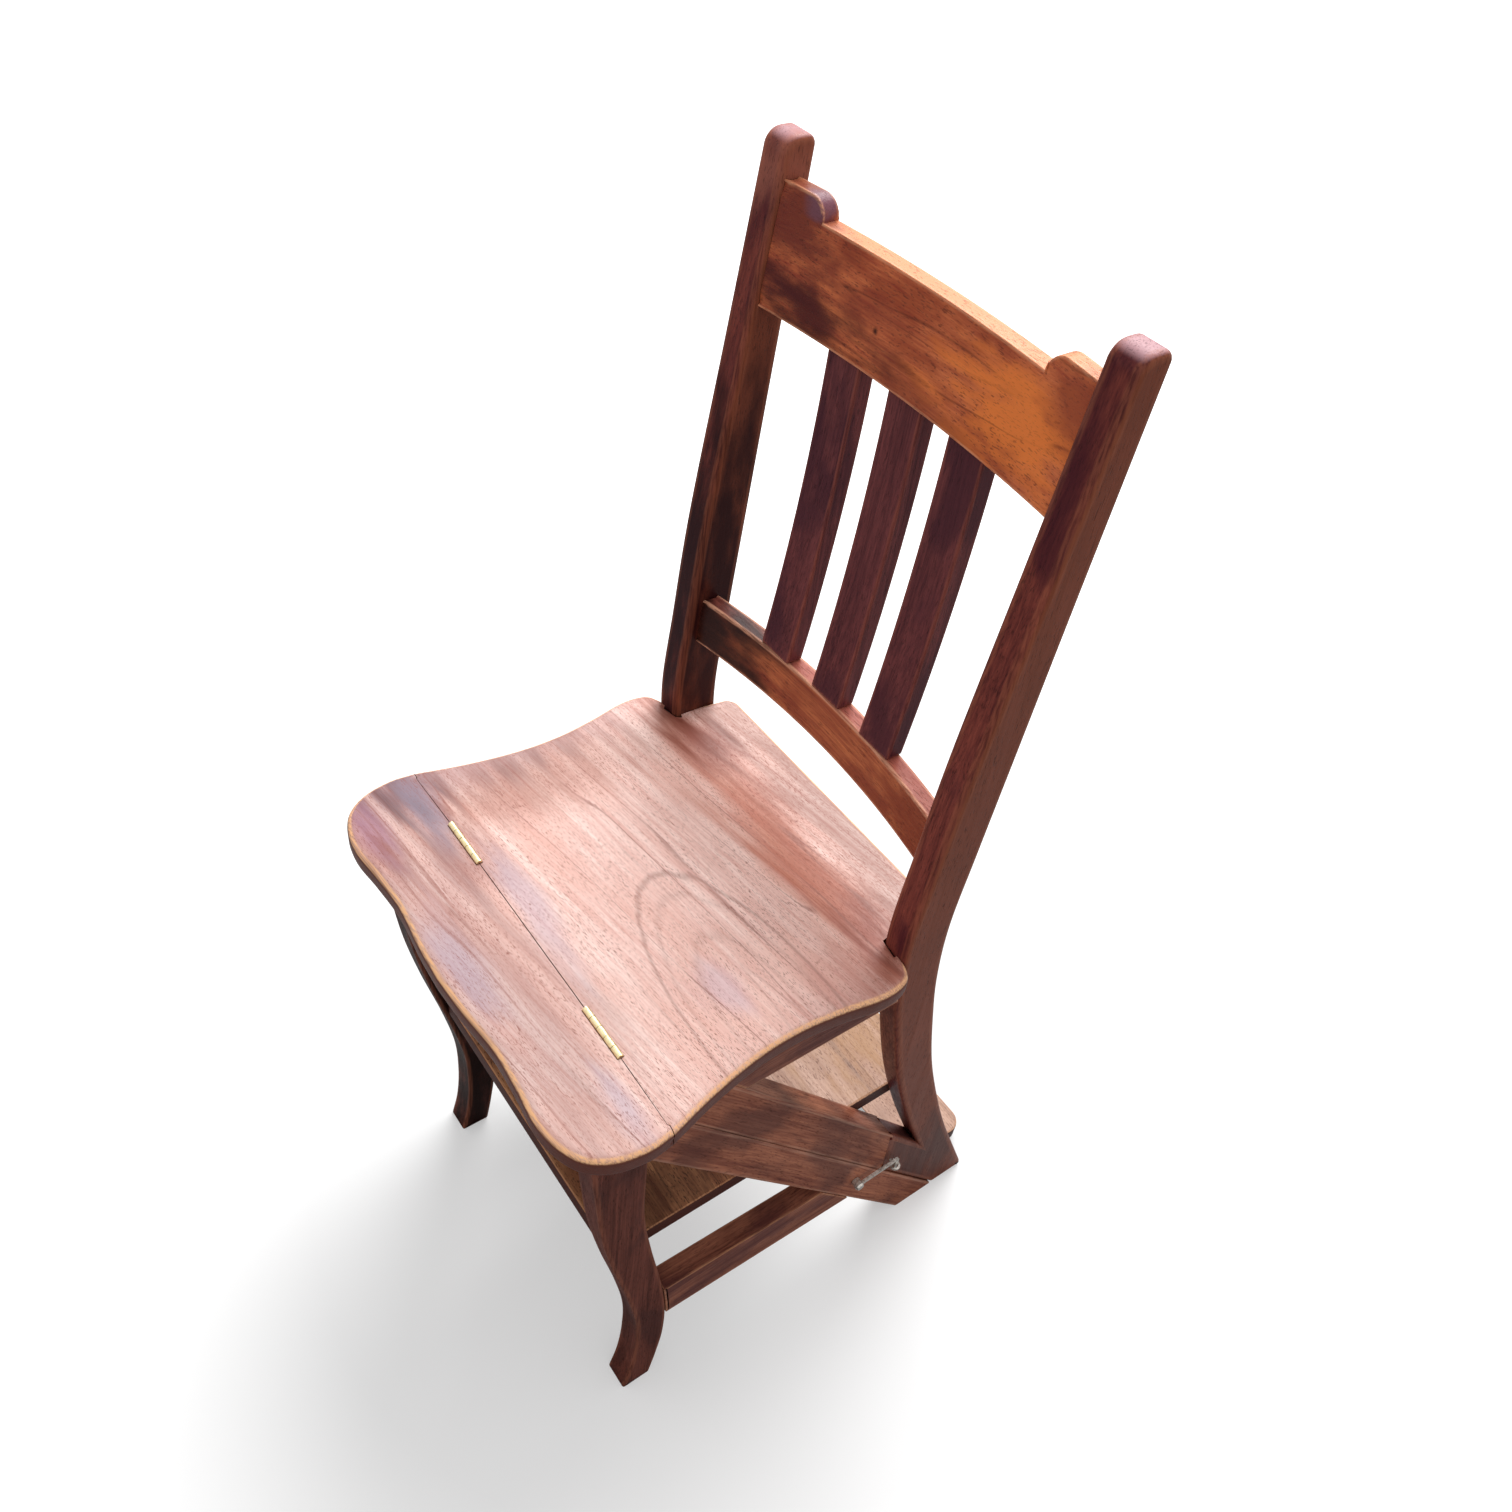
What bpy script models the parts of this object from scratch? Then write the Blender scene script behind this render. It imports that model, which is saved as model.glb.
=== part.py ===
"""Library step chair: a side chair whose back half turns over on two hinges to make a set of steps.

The chair is two frames. The front frame has the front legs, the lower side rails, the low
stretchers, the front strip of the seat and the lower tread. The rear frame has the stiles, the
upper side rails, the seat panel, the back and two more treads. They part along a slanting split
and turn about two brass butt hinges at the top of the seat.

Metres, Z up. X runs across the chair, the sitter's left at +X, and the sitter faces -Y.
Shapes are worked out with y counted from the hinge line and z from the floor. The world's
origin is on the floor, at the middle of the chair's length.
"""
import math
from dataclasses import dataclass

import bmesh
import bpy
from mathutils import Matrix, Vector

MM = 0.001

# Seat, hinge line and split
SEAT_HEIGHT = 450 * MM
SEAT_THICKNESS = 20 * MM
SEAT_FRONT_REACH = 70 * MM
SEAT_TAIL = 16 * MM
SEAT_OVERHANG = 24.5 * MM
SEAT_TONGUE_RADIUS = 12 * MM
SEAT_TOP_ROUND = 6 * MM
SEAT_BOTTOM_ROUND = 7 * MM
SPLIT_DROP = 12 * MM
SPLIT_REACH = 349 * MM
SPLIT_GAP = 0.6 * MM

# Side frames
SIDE_INNER = 133 * MM
SIDE_WIDTH = 24 * MM
LOWER_RAIL_DEPTH = 35.5 * MM
UPPER_RAIL_DEPTH = 37 * MM
SEAT_RAIL_DEPTH = 28 * MM
SHOULDER_SETBACK = 87 * MM
STRETCHER_WIDTH = 20 * MM
STRETCHER_DEPTH = 46 * MM
STRETCHER_FRONT_TOP = 152.5 * MM
STRETCHER_FALL = 8 * MM

# Front leg: depth at the top, how far its middle line wanders, and how far its head's rear edge
# stands in front of the hinge line
LEG_DEPTH = 45 * MM
LEG_SWEEP = 43.5 * MM
LEG_HEAD_GAP = 1 * MM

# Stile: length of its foot on the floor, depth at the seat, and its rounded top and heel
STILE_FOOT = 41 * MM
STILE_DEPTH = 40 * MM
STILE_FRONT_ROUND = 12 * MM
STILE_REAR_ROUND = 7 * MM
HEEL_ROUND = 4 * MM

# Treads
TREAD_THICKNESS = 17 * MM
TREAD_TOP = 216 * MM
LOWER_TREAD_NOSE = 8 * MM
MIDDLE_TREAD_TAIL = 5.3 * MM
TOP_TREAD_TAIL = 19 * MM
TOP_TREAD_LIFT = 4 * MM
TREAD_CORNER_RADIUS = 16 * MM

# Back
CREST_DROP = 24 * MM
CREST_DEPTH = 80 * MM
CREST_STEP = 13 * MM
CREST_EAR_WIDTH = 37 * MM
CREST_TOP_THICKNESS = 12 * MM
CREST_BOTTOM_THICKNESS = 18 * MM
CREST_SETBACK = 3.5 * MM
CREST_BOW = 9.5 * MM
LOW_RAIL_RISE = 113 * MM
LOW_RAIL_DEPTH = 39 * MM
LOW_RAIL_THICKNESS = 14.5 * MM
LOW_RAIL_SETBACK = 10 * MM
LOW_RAIL_BOW = 13.5 * MM
SLAT_WIDTH = 31 * MM
SLAT_THICKNESS = 14 * MM
SLAT_TOP_SETBACK = 4 * MM
SLAT_BOW = 4 * MM
SLAT_SPACING = 57 * MM
SLAT_TENON = 10 * MM

# Hinges
HINGE_LENGTH = 44 * MM
HINGE_INSET = 38 * MM
HINGE_LIFT = 0.4 * MM
KNUCKLE_RADIUS = 2.4 * MM
HINGE_PIN_RADIUS = 1.1 * MM
HINGE_PIN_CLEARANCE = 0.1 * MM
LEAF_THICKNESS = 1.4 * MM
LEAF_GAP = 0.4 * MM
LEAF_DEPTH = 15 * MM
HINGE_SCREW_HEAD = 2.6 * MM
HINGE_SCREW_SHANK = 1.4 * MM
HINGE_SCREW_LENGTH = 12 * MM

# Latch: a hook on the lower rail whose tip drops into an eye on the stile's foot
LATCH_EYE_REACH = 9 * MM
LATCH_PIVOT_DEPTH = 16 * MM
LATCH_SPAN = 43.5 * MM
LATCH_EYE_DEPTH = 12.5 * MM
LATCH_TIP_RISE = 11 * MM
LATCH_TIP_DROP = 4 * MM
LATCH_SCREW_RADIUS = 2 * MM
LATCH_SCREW_GRIP = 7 * MM
LATCH_HEAD_RADIUS = 4 * MM
LATCH_HEAD_THICKNESS = 1.8 * MM
HOOK_WIDTH = 3.4 * MM
HOOK_THICKNESS = 2.4 * MM
HOOK_RING_RADIUS = 4.4 * MM
HOOK_CLEARANCE = 1.2 * MM
EYE_WIRE = 1.8 * MM
EYE_SHANK_RADIUS = 1.5 * MM

# Joints and finish
FIT = 0.3 * MM
EDGE_SOFTENING = 2 * MM
FINE_SOFTENING = 1 * MM
TENON_LENGTH = 12 * MM
TENON_ROOT = 3 * MM
TENON_WIDTH = 7 * MM
SEAT_SCREW_RADIUS = 2 * MM
SEAT_SCREW_HEAD_RADIUS = 4 * MM
SEAT_SCREW_HEAD_DEPTH = 3 * MM
SEAT_SCREW_BITE = 12 * MM

# Outlines as shares: height of the part, then place and depth as shares of the named sizes
LEG_SHARES = (
    (1.00, 0.00, 1.00),
    (0.86, 0.08, 0.89),
    (0.70, 0.195, 0.77),
    (0.56, 0.43, 0.72),
    (0.40, 0.765, 0.655),
    (0.27, 0.97, 0.60),
    (0.16, 0.995, 0.585),
    (0.07, 0.91, 0.555),
    (0.00, 0.775, 0.59),
)
STILE_SHARES = (
    (0.00, 1.000, 0.85),
    (0.07, 0.927, 0.85),
    (0.14, 0.856, 0.85),
    (0.22, 0.785, 0.90),
    (0.30, 0.723, 0.925),
    (0.38, 0.677, 0.9625),
    (0.45, 0.645, 0.9875),
    (0.52, 0.632, 1.00),
    (0.60, 0.643, 0.98),
    (0.70, 0.659, 0.95),
    (0.85, 0.683, 0.76),
    (1.00, 0.709, 0.60),
)
# Seat: half width, then reach to the front or the rear
SEAT_FRONT_SHARES = (
    (0.00, 1.00), (0.168, 0.98), (0.37, 0.93), (0.55, 0.95), (0.70, 0.985), (0.82, 0.94),
    (0.915, 0.815), (0.976, 0.58), (1.00, 0.27), (0.9916, 0.00),
)
SEAT_SIDE_SHARES = (
    (0.9916, 0.00), (0.9356, 0.19), (0.898, 0.385), (0.892, 0.555), (0.912, 0.71), (0.938, 0.83),
    (0.943, 0.90), (0.933, 0.955), (0.913, 0.985), (0.886, 1.00),
)
KNUCKLE_COUNT = 5
SLAT_STEPS = 8
HINGE_SCREW_PLACE_SHARE = 0.3
SEAT_SCREW_PLACE_SHARES = (0.3, 0.75)
TENON_SHARE = 0.55
LATCH_HEAD_SHARE = 0.85

# Places that follow from the sizes
BACK_HEIGHT = 2 * SEAT_HEIGHT
CREST_TOP = BACK_HEIGHT - CREST_DROP
CREST_MIDDLE_TOP = CREST_TOP - CREST_STEP
CREST_BOTTOM = CREST_TOP - CREST_DEPTH
CREST_STEP_PLACE = SIDE_INNER - CREST_EAR_WIDTH
LOW_RAIL_TOP = SEAT_HEIGHT + LOW_RAIL_RISE
AXIS_HEIGHT = SEAT_HEIGHT + HINGE_LIFT
SEAT_UNDERSIDE = SEAT_HEIGHT - SEAT_THICKNESS
SEAT_HALF_WIDTH = SIDE_INNER + SIDE_WIDTH + SEAT_OVERHANG
SPLIT_TOP = SEAT_HEIGHT - SPLIT_DROP
SPLIT_LENGTH = math.hypot(SPLIT_TOP, SPLIT_REACH)
SPLIT_NORMAL = Vector((0, SPLIT_TOP, SPLIT_REACH)) / SPLIT_LENGTH
STILE_REACH = SPLIT_REACH + STILE_FOOT
SHOULDER_REACH = SPLIT_REACH - SHOULDER_SETBACK
TOP_TREAD_REACH = STILE_REACH + TOP_TREAD_TAIL
SIDE_OUTER = SIDE_INNER + SIDE_WIDTH
SIDE_MIDDLE = SIDE_INNER + SIDE_WIDTH / 2
HINGE_PLACE = SIDE_INNER - HINGE_INSET
HINGE_LINE_Y = (SEAT_FRONT_REACH - TOP_TREAD_REACH) / 2
TREAD_MIDDLE = TREAD_TOP - TREAD_THICKNESS / 2
OVERRUN = SEAT_THICKNESS
TRIM_TOLERANCE = FIT / 1000
EYE_HOLE_RADIUS = HOOK_WIDTH / 2 + HOOK_CLEARANCE
EYE_RADIUS = EYE_HOLE_RADIUS + EYE_WIRE
HOOK_MIDDLE = SIDE_OUTER + EYE_RADIUS + 2 * FIT
SIDES = {"left": 1, "right": -1}


# Colours and materials

def linear(hex_colour):
    """An sRGB hex colour as linear red, green, blue and alpha."""
    channels = [int(hex_colour[i:i + 2], 16) / 255 for i in (0, 2, 4)]
    return [c / 12.92 if c <= 0.04045 else ((c + 0.055) / 1.055) ** 2.4 for c in channels] + [1.0]


def make_material(name, hex_colour, roughness, metallic):
    """A plain Principled material."""
    material = bpy.data.materials.new(name)
    material.use_nodes = True
    shader = material.node_tree.nodes["Principled BSDF"]
    shader.inputs["Base Color"].default_value = linear(hex_colour)
    shader.inputs["Roughness"].default_value = roughness
    shader.inputs["Metallic"].default_value = metallic
    material.diffuse_color = linear(hex_colour)
    return material


def make_materials():
    """All finishes of the chair, by name."""
    return {
        "frame_wood": make_material("dark_mahogany", "5a2e24", 0.35, 0.0),
        "seat_wood": make_material("seat_mahogany", "9a5a44", 0.3, 0.0),
        "crest_wood": make_material("chestnut_mahogany", "8a4322", 0.3, 0.0),
        "tread_wood": make_material("worn_tread_mahogany", "8f5a36", 0.4, 0.0),
        "brass": make_material("bright_brass", "d8b866", 0.25, 1.0),
        "steel": make_material("dark_steel", "55504c", 0.4, 1.0),
    }


# Lines and curves

def smooth_line(points, steps=4):
    """A curve through the points, with the given number of pieces from each to the next."""
    first = [2 * a - b for a, b in zip(points[0], points[1])]
    last = [2 * a - b for a, b in zip(points[-1], points[-2])]
    run = [first, *points, last]
    line = []
    for p0, p1, p2, p3 in zip(run, run[1:], run[2:], run[3:]):
        for step in range(steps):
            t = step / steps
            line.append(tuple(
                (2 * b + (c - a) * t + (2 * a - 5 * b + 4 * c - d) * t ** 2
                 + (3 * b - a - 3 * c + d) * t ** 3) / 2
                for a, b, c, d in zip(p0, p1, p2, p3)))
    return line + [tuple(points[-1])]


def arc(centre, radius, start, end, steps):
    """Points on a circle, from one angle in degrees to another."""
    angles = [math.radians(start + (end - start) * i / steps) for i in range(steps + 1)]
    return [(centre[0] + radius * math.cos(a), centre[1] + radius * math.sin(a)) for a in angles]


def at_height(line, height):
    """The y where a line of (y, z) points passes a height."""
    for (y0, z0), (y1, z1) in zip(line, line[1:]):
        if min(z0, z1) <= height <= max(z0, z1) and z0 != z1:
            return y0 + (y1 - y0) * (height - z0) / (z1 - z0)
    nearest = min(line, key=lambda point: abs(point[1] - height))
    return nearest[0]


def between_heights(line, low, high):
    """The stretch of a (y, z) line between two heights, from the lower to the higher."""
    inside = sorted((p for p in line if low < p[1] < high), key=lambda point: point[1])
    return [(at_height(line, low), low), *inside, (at_height(line, high), high)]


def shifted(line, distance):
    """A (y, z) line moved along y."""
    return [(y + distance, z) for y, z in line]


def split_y(height, offset=0.0):
    """The y of the split at a height, or of a line beside it at a square distance."""
    return SPLIT_REACH * (1 - height / SPLIT_TOP) + offset * SPLIT_LENGTH / SPLIT_TOP


def split_z(y, offset=0.0):
    """The height of the split at a y, or of a line beside it at a square distance."""
    return SPLIT_TOP * (1 - y / SPLIT_REACH) + offset * SPLIT_LENGTH / SPLIT_REACH


def crossing(line, offset):
    """Where a (y, z) line, read downwards, reaches the line beside the split."""
    for upper, lower in zip(line, line[1:]):
        above = upper[0] - split_y(upper[1], offset)
        below = lower[0] - split_y(lower[1], offset)
        if above > 0 >= below or above < 0 <= below:
            t = above / (above - below)
            return tuple(a + (b - a) * t for a, b in zip(upper, lower))
    return line[-1]


# Edges of the curved members, each a list of (y, z) from the top down or from the floor up

def leg_edges():
    """The front and the rear edge of a front leg, from the top down."""
    front, rear = [], []
    for height, place, depth in LEG_SHARES:
        middle = place * LEG_SWEEP - LEG_HEAD_GAP - LEG_DEPTH / 2
        z = height * (SEAT_UNDERSIDE - FIT)
        front.append((middle - depth * LEG_DEPTH / 2, z))
        rear.append((middle + depth * LEG_DEPTH / 2, z))
    return smooth_line(front), smooth_line(rear)


def stile_edges():
    """The front and the rear edge of a stile, from the floor up."""
    front, rear = [], []
    for height, place, depth in STILE_SHARES:
        z = height * BACK_HEIGHT
        rear.append((place * STILE_REACH, z))
        front.append((place * STILE_REACH - depth * STILE_DEPTH, z))
    return smooth_line(front), smooth_line(rear)


LEG_FRONT, LEG_REAR = leg_edges()
STILE_FRONT, STILE_REAR = stile_edges()
SEAT_REAR_REACH = at_height(STILE_REAR, SEAT_HEIGHT) + SEAT_TAIL
MIDDLE_TREAD_REACH = at_height(STILE_REAR, TREAD_TOP) + MIDDLE_TREAD_TAIL


def stile_front(z):
    """The y of a stile's front edge at a height."""
    return at_height(STILE_FRONT, z)


# Meshes and objects

def prism(outline, axis, low, high):
    """A closed prism from an outline: (y, z) points pushed along X, or (x, y) points along Z."""
    mesh = bmesh.new()
    rings = []
    for level in (low, high):
        if axis == "X":
            rings.append([mesh.verts.new((level, a, b)) for a, b in outline])
        else:
            rings.append([mesh.verts.new((a, b, level)) for a, b in outline])
    mesh.faces.new(rings[0])
    mesh.faces.new(rings[1])
    for i, vert in enumerate(rings[0]):
        j = (i + 1) % len(outline)
        mesh.faces.new((vert, rings[0][j], rings[1][j], rings[1][i]))
    bmesh.ops.recalc_face_normals(mesh, faces=mesh.faces)
    return mesh


def turned(profile, place, direction, sides=12):
    """A turned solid: (radius, distance) points spun about a direction from a place."""
    mesh = bmesh.new()
    turn = Vector((0, 0, 1)).rotation_difference(Vector(direction)).to_matrix()
    rings = []
    for radius, distance in profile:
        if radius == 0:
            rings.append([mesh.verts.new(Vector(place) + turn @ Vector((0, 0, distance)))])
            continue
        ring = []
        for i in range(sides):
            angle = math.tau * i / sides
            spoke = Vector((radius * math.cos(angle), radius * math.sin(angle), distance))
            ring.append(mesh.verts.new(Vector(place) + turn @ spoke))
        rings.append(ring)
    for ring in (rings[0], rings[-1]):
        if len(ring) > 1:
            mesh.faces.new(ring)
    for a, b in zip(rings, rings[1:]):
        for i in range(sides):
            j = (i + 1) % sides
            corners = [a[i % len(a)], a[j % len(a)], b[j % len(b)], b[i % len(b)]]
            mesh.faces.new(list(dict.fromkeys(corners)))
    bmesh.ops.recalc_face_normals(mesh, faces=mesh.faces)
    return mesh


def cylinder(start, end, radius, sides=12):
    """A straight closed cylinder between two places."""
    run = Vector(end) - Vector(start)
    return turned([(radius, 0.0), (radius, run.length)], start, run.normalized(), sides)


def merged(meshes):
    """Several closed shapes as one mesh of separate solids."""
    whole = bmesh.new()
    for mesh in meshes:
        data = bpy.data.meshes.new("piece")
        mesh.to_mesh(data)
        mesh.free()
        whole.from_mesh(data)
        bpy.data.meshes.remove(data)
    return whole


def trim(mesh, point, normal):
    """Cut a mesh by a plane, drop what the normal points to, and close the cut."""
    cut = bmesh.ops.bisect_plane(
        mesh, geom=[*mesh.verts, *mesh.edges, *mesh.faces], plane_co=point, plane_no=normal,
        clear_outer=True, dist=TRIM_TOLERANCE)
    edges = [item for item in cut["geom_cut"] if isinstance(item, bmesh.types.BMEdge)]
    bmesh.ops.contextual_create(mesh, geom=edges)
    bmesh.ops.recalc_face_normals(mesh, faces=mesh.faces)
    return mesh


def rounded(mesh, edges, radius, segments):
    """Round chosen edges of a mesh."""
    bmesh.ops.bevel(
        mesh, geom=edges, offset=radius, offset_type="OFFSET", segments=segments,
        affect="EDGES", clamp_overlap=True)
    return mesh


def level_edges(mesh, height, keep=lambda edge: True):
    """Edges that lie flat at a height and pass a test."""
    return [edge for edge in mesh.edges
            if all(abs(vert.co.z - height) < FIT / 2 for vert in edge.verts) and keep(edge)]


def add_object(name, mesh, material, parent, smooth_angle=30):
    """Make an object from a mesh in chair coordinates, with its origin at its parent."""
    data = bpy.data.meshes.new(name)
    place = Matrix.Translation(Vector((0, HINGE_LINE_Y, 0)) - parent.location)
    mesh.transform(place)
    mesh.to_mesh(data)
    mesh.free()
    data.shade_smooth()
    data.set_sharp_from_angle(angle=math.radians(smooth_angle))
    obj = bpy.data.objects.new(name, data)
    bpy.context.scene.collection.objects.link(obj)
    obj.parent = parent
    if material:
        data.materials.append(material)
    return obj


def add_cutter(name, mesh, parent):
    """A hidden shape that others are cut by."""
    obj = add_object(name, mesh, None, parent)
    obj.hide_render = True
    obj.display_type = "WIRE"
    return obj


def add_boolean(obj, other, operation="DIFFERENCE"):
    """Cut or join an object with another."""
    modifier = obj.modifiers.new(f"{operation.lower()}_{other.name}", "BOOLEAN")
    modifier.operation = operation
    modifier.solver = "EXACT"
    modifier.object = other


def soften(obj, width, segments=1):
    """Ease the sharp edges of an object."""
    modifier = obj.modifiers.new("softened_edges", "BEVEL")
    modifier.width = width
    modifier.segments = segments
    modifier.limit_method = "ANGLE"
    modifier.angle_limit = math.radians(35)


def add_empty(name, location):
    """A datum that pieces hang on."""
    empty = bpy.data.objects.new(name, None)
    empty.location = location
    bpy.context.scene.collection.objects.link(empty)
    return empty


# Tenons

def grown(outline, spare):
    """An outline of (y, z) points, read clockwise, with every side moved outwards."""
    points = [Vector(point) for point in outline]
    corners = []
    for before, corner, after in zip([points[-1], *points], points, [*points[1:], points[0]]):
        sides = [(corner - before).normalized(), (after - corner).normalized()]
        normals = [Vector((-side.y, side.x)) for side in sides]
        outward = (normals[0] + normals[1]).normalized()
        moved = corner + outward * spare / outward.dot(normals[0])
        corners.append((moved.x, moved.y))
    return corners


@dataclass
class Tenon:
    """A tenon left on one piece, and the piece that its mortise is cut in."""
    owner: str
    host: str
    outline: list
    low: float
    high: float

    def shape(self, spare=0.0):
        """The tenon itself, or its mortise where there is room to spare."""
        return prism(grown(self.outline, spare), "X", self.low - spare, self.high + spare)


def tenon_across(owner, host, side, outline):
    """A tenon along X, from a board or rail into a side frame."""
    ends = sorted((side * (SIDE_INNER - TENON_ROOT), side * (SIDE_INNER + TENON_LENGTH)))
    return Tenon(owner, host, outline, *ends)


def tenon_inside(owner, host, side, outline, middle=SIDE_MIDDLE):
    """A tenon within the thickness of a side frame."""
    return Tenon(owner, host, outline, side * middle - TENON_WIDTH / 2, side * middle + TENON_WIDTH / 2)


def beside(line, before, after, low, high):
    """A four-sided outline that follows a line, given as y by height, between two heights."""
    return [(line(low) - before, low), (line(high) - before, high),
            (line(high) + after, high), (line(low) + after, low)]


def middle_share(low, high):
    """The middle part of a stretch that a tenon takes up."""
    middle, half = (low + high) / 2, TENON_SHARE * (high - low) / 2
    return middle - half, middle + half


def tread_tenon(front, rear, level):
    """The outline of a tread's tenon between two y's, in the middle of its thickness."""
    near, far = middle_share(front, rear)
    low, high = middle_share(level - TREAD_THICKNESS / 2, level + TREAD_THICKNESS / 2)
    return [(near, low), (near, high), (far, high), (far, low)]


def front_tenons(name, side):
    """The joints on one side of the front frame."""
    leg, rail, stretcher = f"front_leg_{name}", f"lower_side_rail_{name}", f"side_stretcher_{name}"
    in_stretcher = SIDE_OUTER - STRETCHER_WIDTH / 2

    def leg_rear(z):
        return at_height(LEG_REAR, z)

    def rail_front(z):
        return split_y(z, -LOWER_RAIL_DEPTH)

    near, far = middle_share(LEG_FRONT[0][0], LEG_REAR[0][0])
    head_top = SEAT_UNDERSIDE + TENON_SHARE * SEAT_THICKNESS
    head = [(near, SEAT_UNDERSIDE - TENON_ROOT), (near, head_top), (far, head_top),
            (far, SEAT_UNDERSIDE - TENON_ROOT)]
    joint = middle_share(split_z(0, -LOWER_RAIL_DEPTH), SEAT_UNDERSIDE)
    fore = middle_share(STRETCHER_FRONT_TOP - STRETCHER_DEPTH, STRETCHER_FRONT_TOP)
    aft = [z - STRETCHER_FALL for z in fore]
    nose = max(-LOWER_TREAD_NOSE, at_height(LEG_FRONT, TREAD_MIDDLE))
    in_leg = tread_tenon(nose, leg_rear(TREAD_MIDDLE), TREAD_MIDDLE)
    in_rail = tread_tenon(rail_front(TREAD_MIDDLE), split_y(TREAD_MIDDLE), TREAD_MIDDLE)
    return [
        tenon_inside(leg, "seat_front_strip", side, head),
        tenon_inside(rail, leg, side, beside(leg_rear, TENON_LENGTH, TENON_ROOT, *joint)),
        tenon_inside(stretcher, leg, side, beside(leg_rear, TENON_LENGTH, TENON_ROOT, *fore), in_stretcher),
        tenon_inside(stretcher, rail, side, beside(rail_front, TENON_ROOT, TENON_LENGTH, *aft), in_stretcher),
        tenon_across("lower_tread", leg, side, in_leg),
        tenon_across("lower_tread", rail, side, in_rail),
    ]


def rear_tenons(name, side):
    """The joints on one side of the rear frame, without those of its back."""
    stile, rail, seat_rail = f"stile_{name}", f"upper_side_rail_{name}", f"seat_side_rail_{name}"

    def rail_rear(z):
        return split_y(z, UPPER_RAIL_DEPTH)

    near, far = SHOULDER_REACH - TENON_ROOT, SHOULDER_REACH + TENON_LENGTH
    low, high = middle_share(0, UPPER_RAIL_DEPTH)
    shoulder = [(near, split_z(near, low)), (near, split_z(near, high)),
                (far, split_z(far, high)), (far, split_z(far, low))]
    seat = middle_share(SEAT_UNDERSIDE - SEAT_RAIL_DEPTH, SEAT_UNDERSIDE)
    in_rail = tread_tenon(split_y(TREAD_MIDDLE), rail_rear(TREAD_MIDDLE), TREAD_MIDDLE)
    square_end = MIDDLE_TREAD_REACH - TREAD_CORNER_RADIUS
    in_stile = tread_tenon(stile_front(TREAD_MIDDLE), square_end, TREAD_MIDDLE)
    foot = TOP_TREAD_LIFT + TREAD_THICKNESS / 2
    in_foot = tread_tenon(split_y(foot), at_height(STILE_REAR, foot), foot)
    return [
        tenon_inside(rail, stile, side, shoulder),
        tenon_inside(seat_rail, stile, side, beside(stile_front, TENON_ROOT, TENON_LENGTH, *seat)),
        tenon_inside(seat_rail, rail, side, beside(rail_rear, TENON_LENGTH, TENON_ROOT, *seat)),
        tenon_across("middle_tread", rail, side, in_rail),
        tenon_across("middle_tread", stile, side, in_stile),
        tenon_across("top_tread", stile, side, in_foot),
    ]


def back_tenons(name, side):
    """The joints of the crest rail and the lower back rail in one stile."""
    low_rail_bottom = LOW_RAIL_TOP - LOW_RAIL_DEPTH
    rails = (
        ("crest_rail", CREST_SETBACK, CREST_TOP_THICKNESS, CREST_BOTTOM, CREST_TOP),
        ("lower_back_rail", LOW_RAIL_SETBACK, LOW_RAIL_THICKNESS, low_rail_bottom, LOW_RAIL_TOP),
    )
    tenons = []
    for rail, setback, thickness, bottom, top in rails:
        near, far = middle_share(setback, setback + thickness)
        outline = beside(stile_front, -near, far, *middle_share(bottom, top))
        tenons.append(tenon_across(rail, f"stile_{name}", side, outline))
    return tenons


def fit_tenons(pieces, tenons, parent):
    """Join each tenon to its piece and cut its mortise in the other."""
    for number, tenon in enumerate(tenons):
        label = f"{number}_{tenon.owner}_in_{tenon.host}"
        add_boolean(pieces[tenon.owner], add_cutter(f"tenon_{label}", tenon.shape(), parent), "UNION")
        add_boolean(pieces[tenon.host], add_cutter(f"mortise_{label}", tenon.shape(FIT), parent))


# Side frames

def make_front_leg(side_name, side, finish, parent):
    """A sawn sabre leg: thick under the seat, hollow at the shin, toe kicked forward."""
    outline = [*LEG_FRONT, *reversed(LEG_REAR)]
    low, high = sorted((side * SIDE_INNER, side * SIDE_OUTER))
    leg = add_object(f"front_leg_{side_name}", prism(outline, "X", low, high), finish, parent)
    soften(leg, EDGE_SOFTENING)
    return leg


def make_lower_rail(side_name, side, finish, parent, screw_hole):
    """The fixed diagonal, from the front leg's head down to the floor."""
    gap = -SPLIT_GAP / 2
    top = SEAT_UNDERSIDE - FIT
    leg_line = between_heights(shifted(LEG_REAR, FIT), split_z(0, -LOWER_RAIL_DEPTH), top)
    foot_front = split_y(0, -LOWER_RAIL_DEPTH)
    outline = [*leg_line, (split_y(top, gap), top), (split_y(0, gap), 0.0), (foot_front, 0.0)]
    low, high = sorted((side * SIDE_INNER, side * SIDE_OUTER))
    rail = add_object(f"lower_side_rail_{side_name}", prism(outline, "X", low, high), finish, parent)
    soften(rail, EDGE_SOFTENING)
    add_boolean(rail, screw_hole)
    return rail


def make_stretcher(side_name, side, finish, parent):
    """The low rail between a front leg and the lower diagonal."""
    front_bottom = STRETCHER_FRONT_TOP - STRETCHER_DEPTH
    front = between_heights(shifted(LEG_REAR, FIT), front_bottom, STRETCHER_FRONT_TOP)
    rear_top = STRETCHER_FRONT_TOP - STRETCHER_FALL
    rear_bottom = rear_top - STRETCHER_DEPTH
    offset = -LOWER_RAIL_DEPTH - FIT
    outline = [*front, (split_y(rear_top, offset), rear_top), (split_y(rear_bottom, offset), rear_bottom)]
    low, high = sorted((side * (SIDE_OUTER - STRETCHER_WIDTH), side * SIDE_OUTER))
    rail = add_object(f"side_stretcher_{side_name}", prism(outline, "X", low, high), finish, parent)
    soften(rail, FINE_SOFTENING)
    return rail


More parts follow.
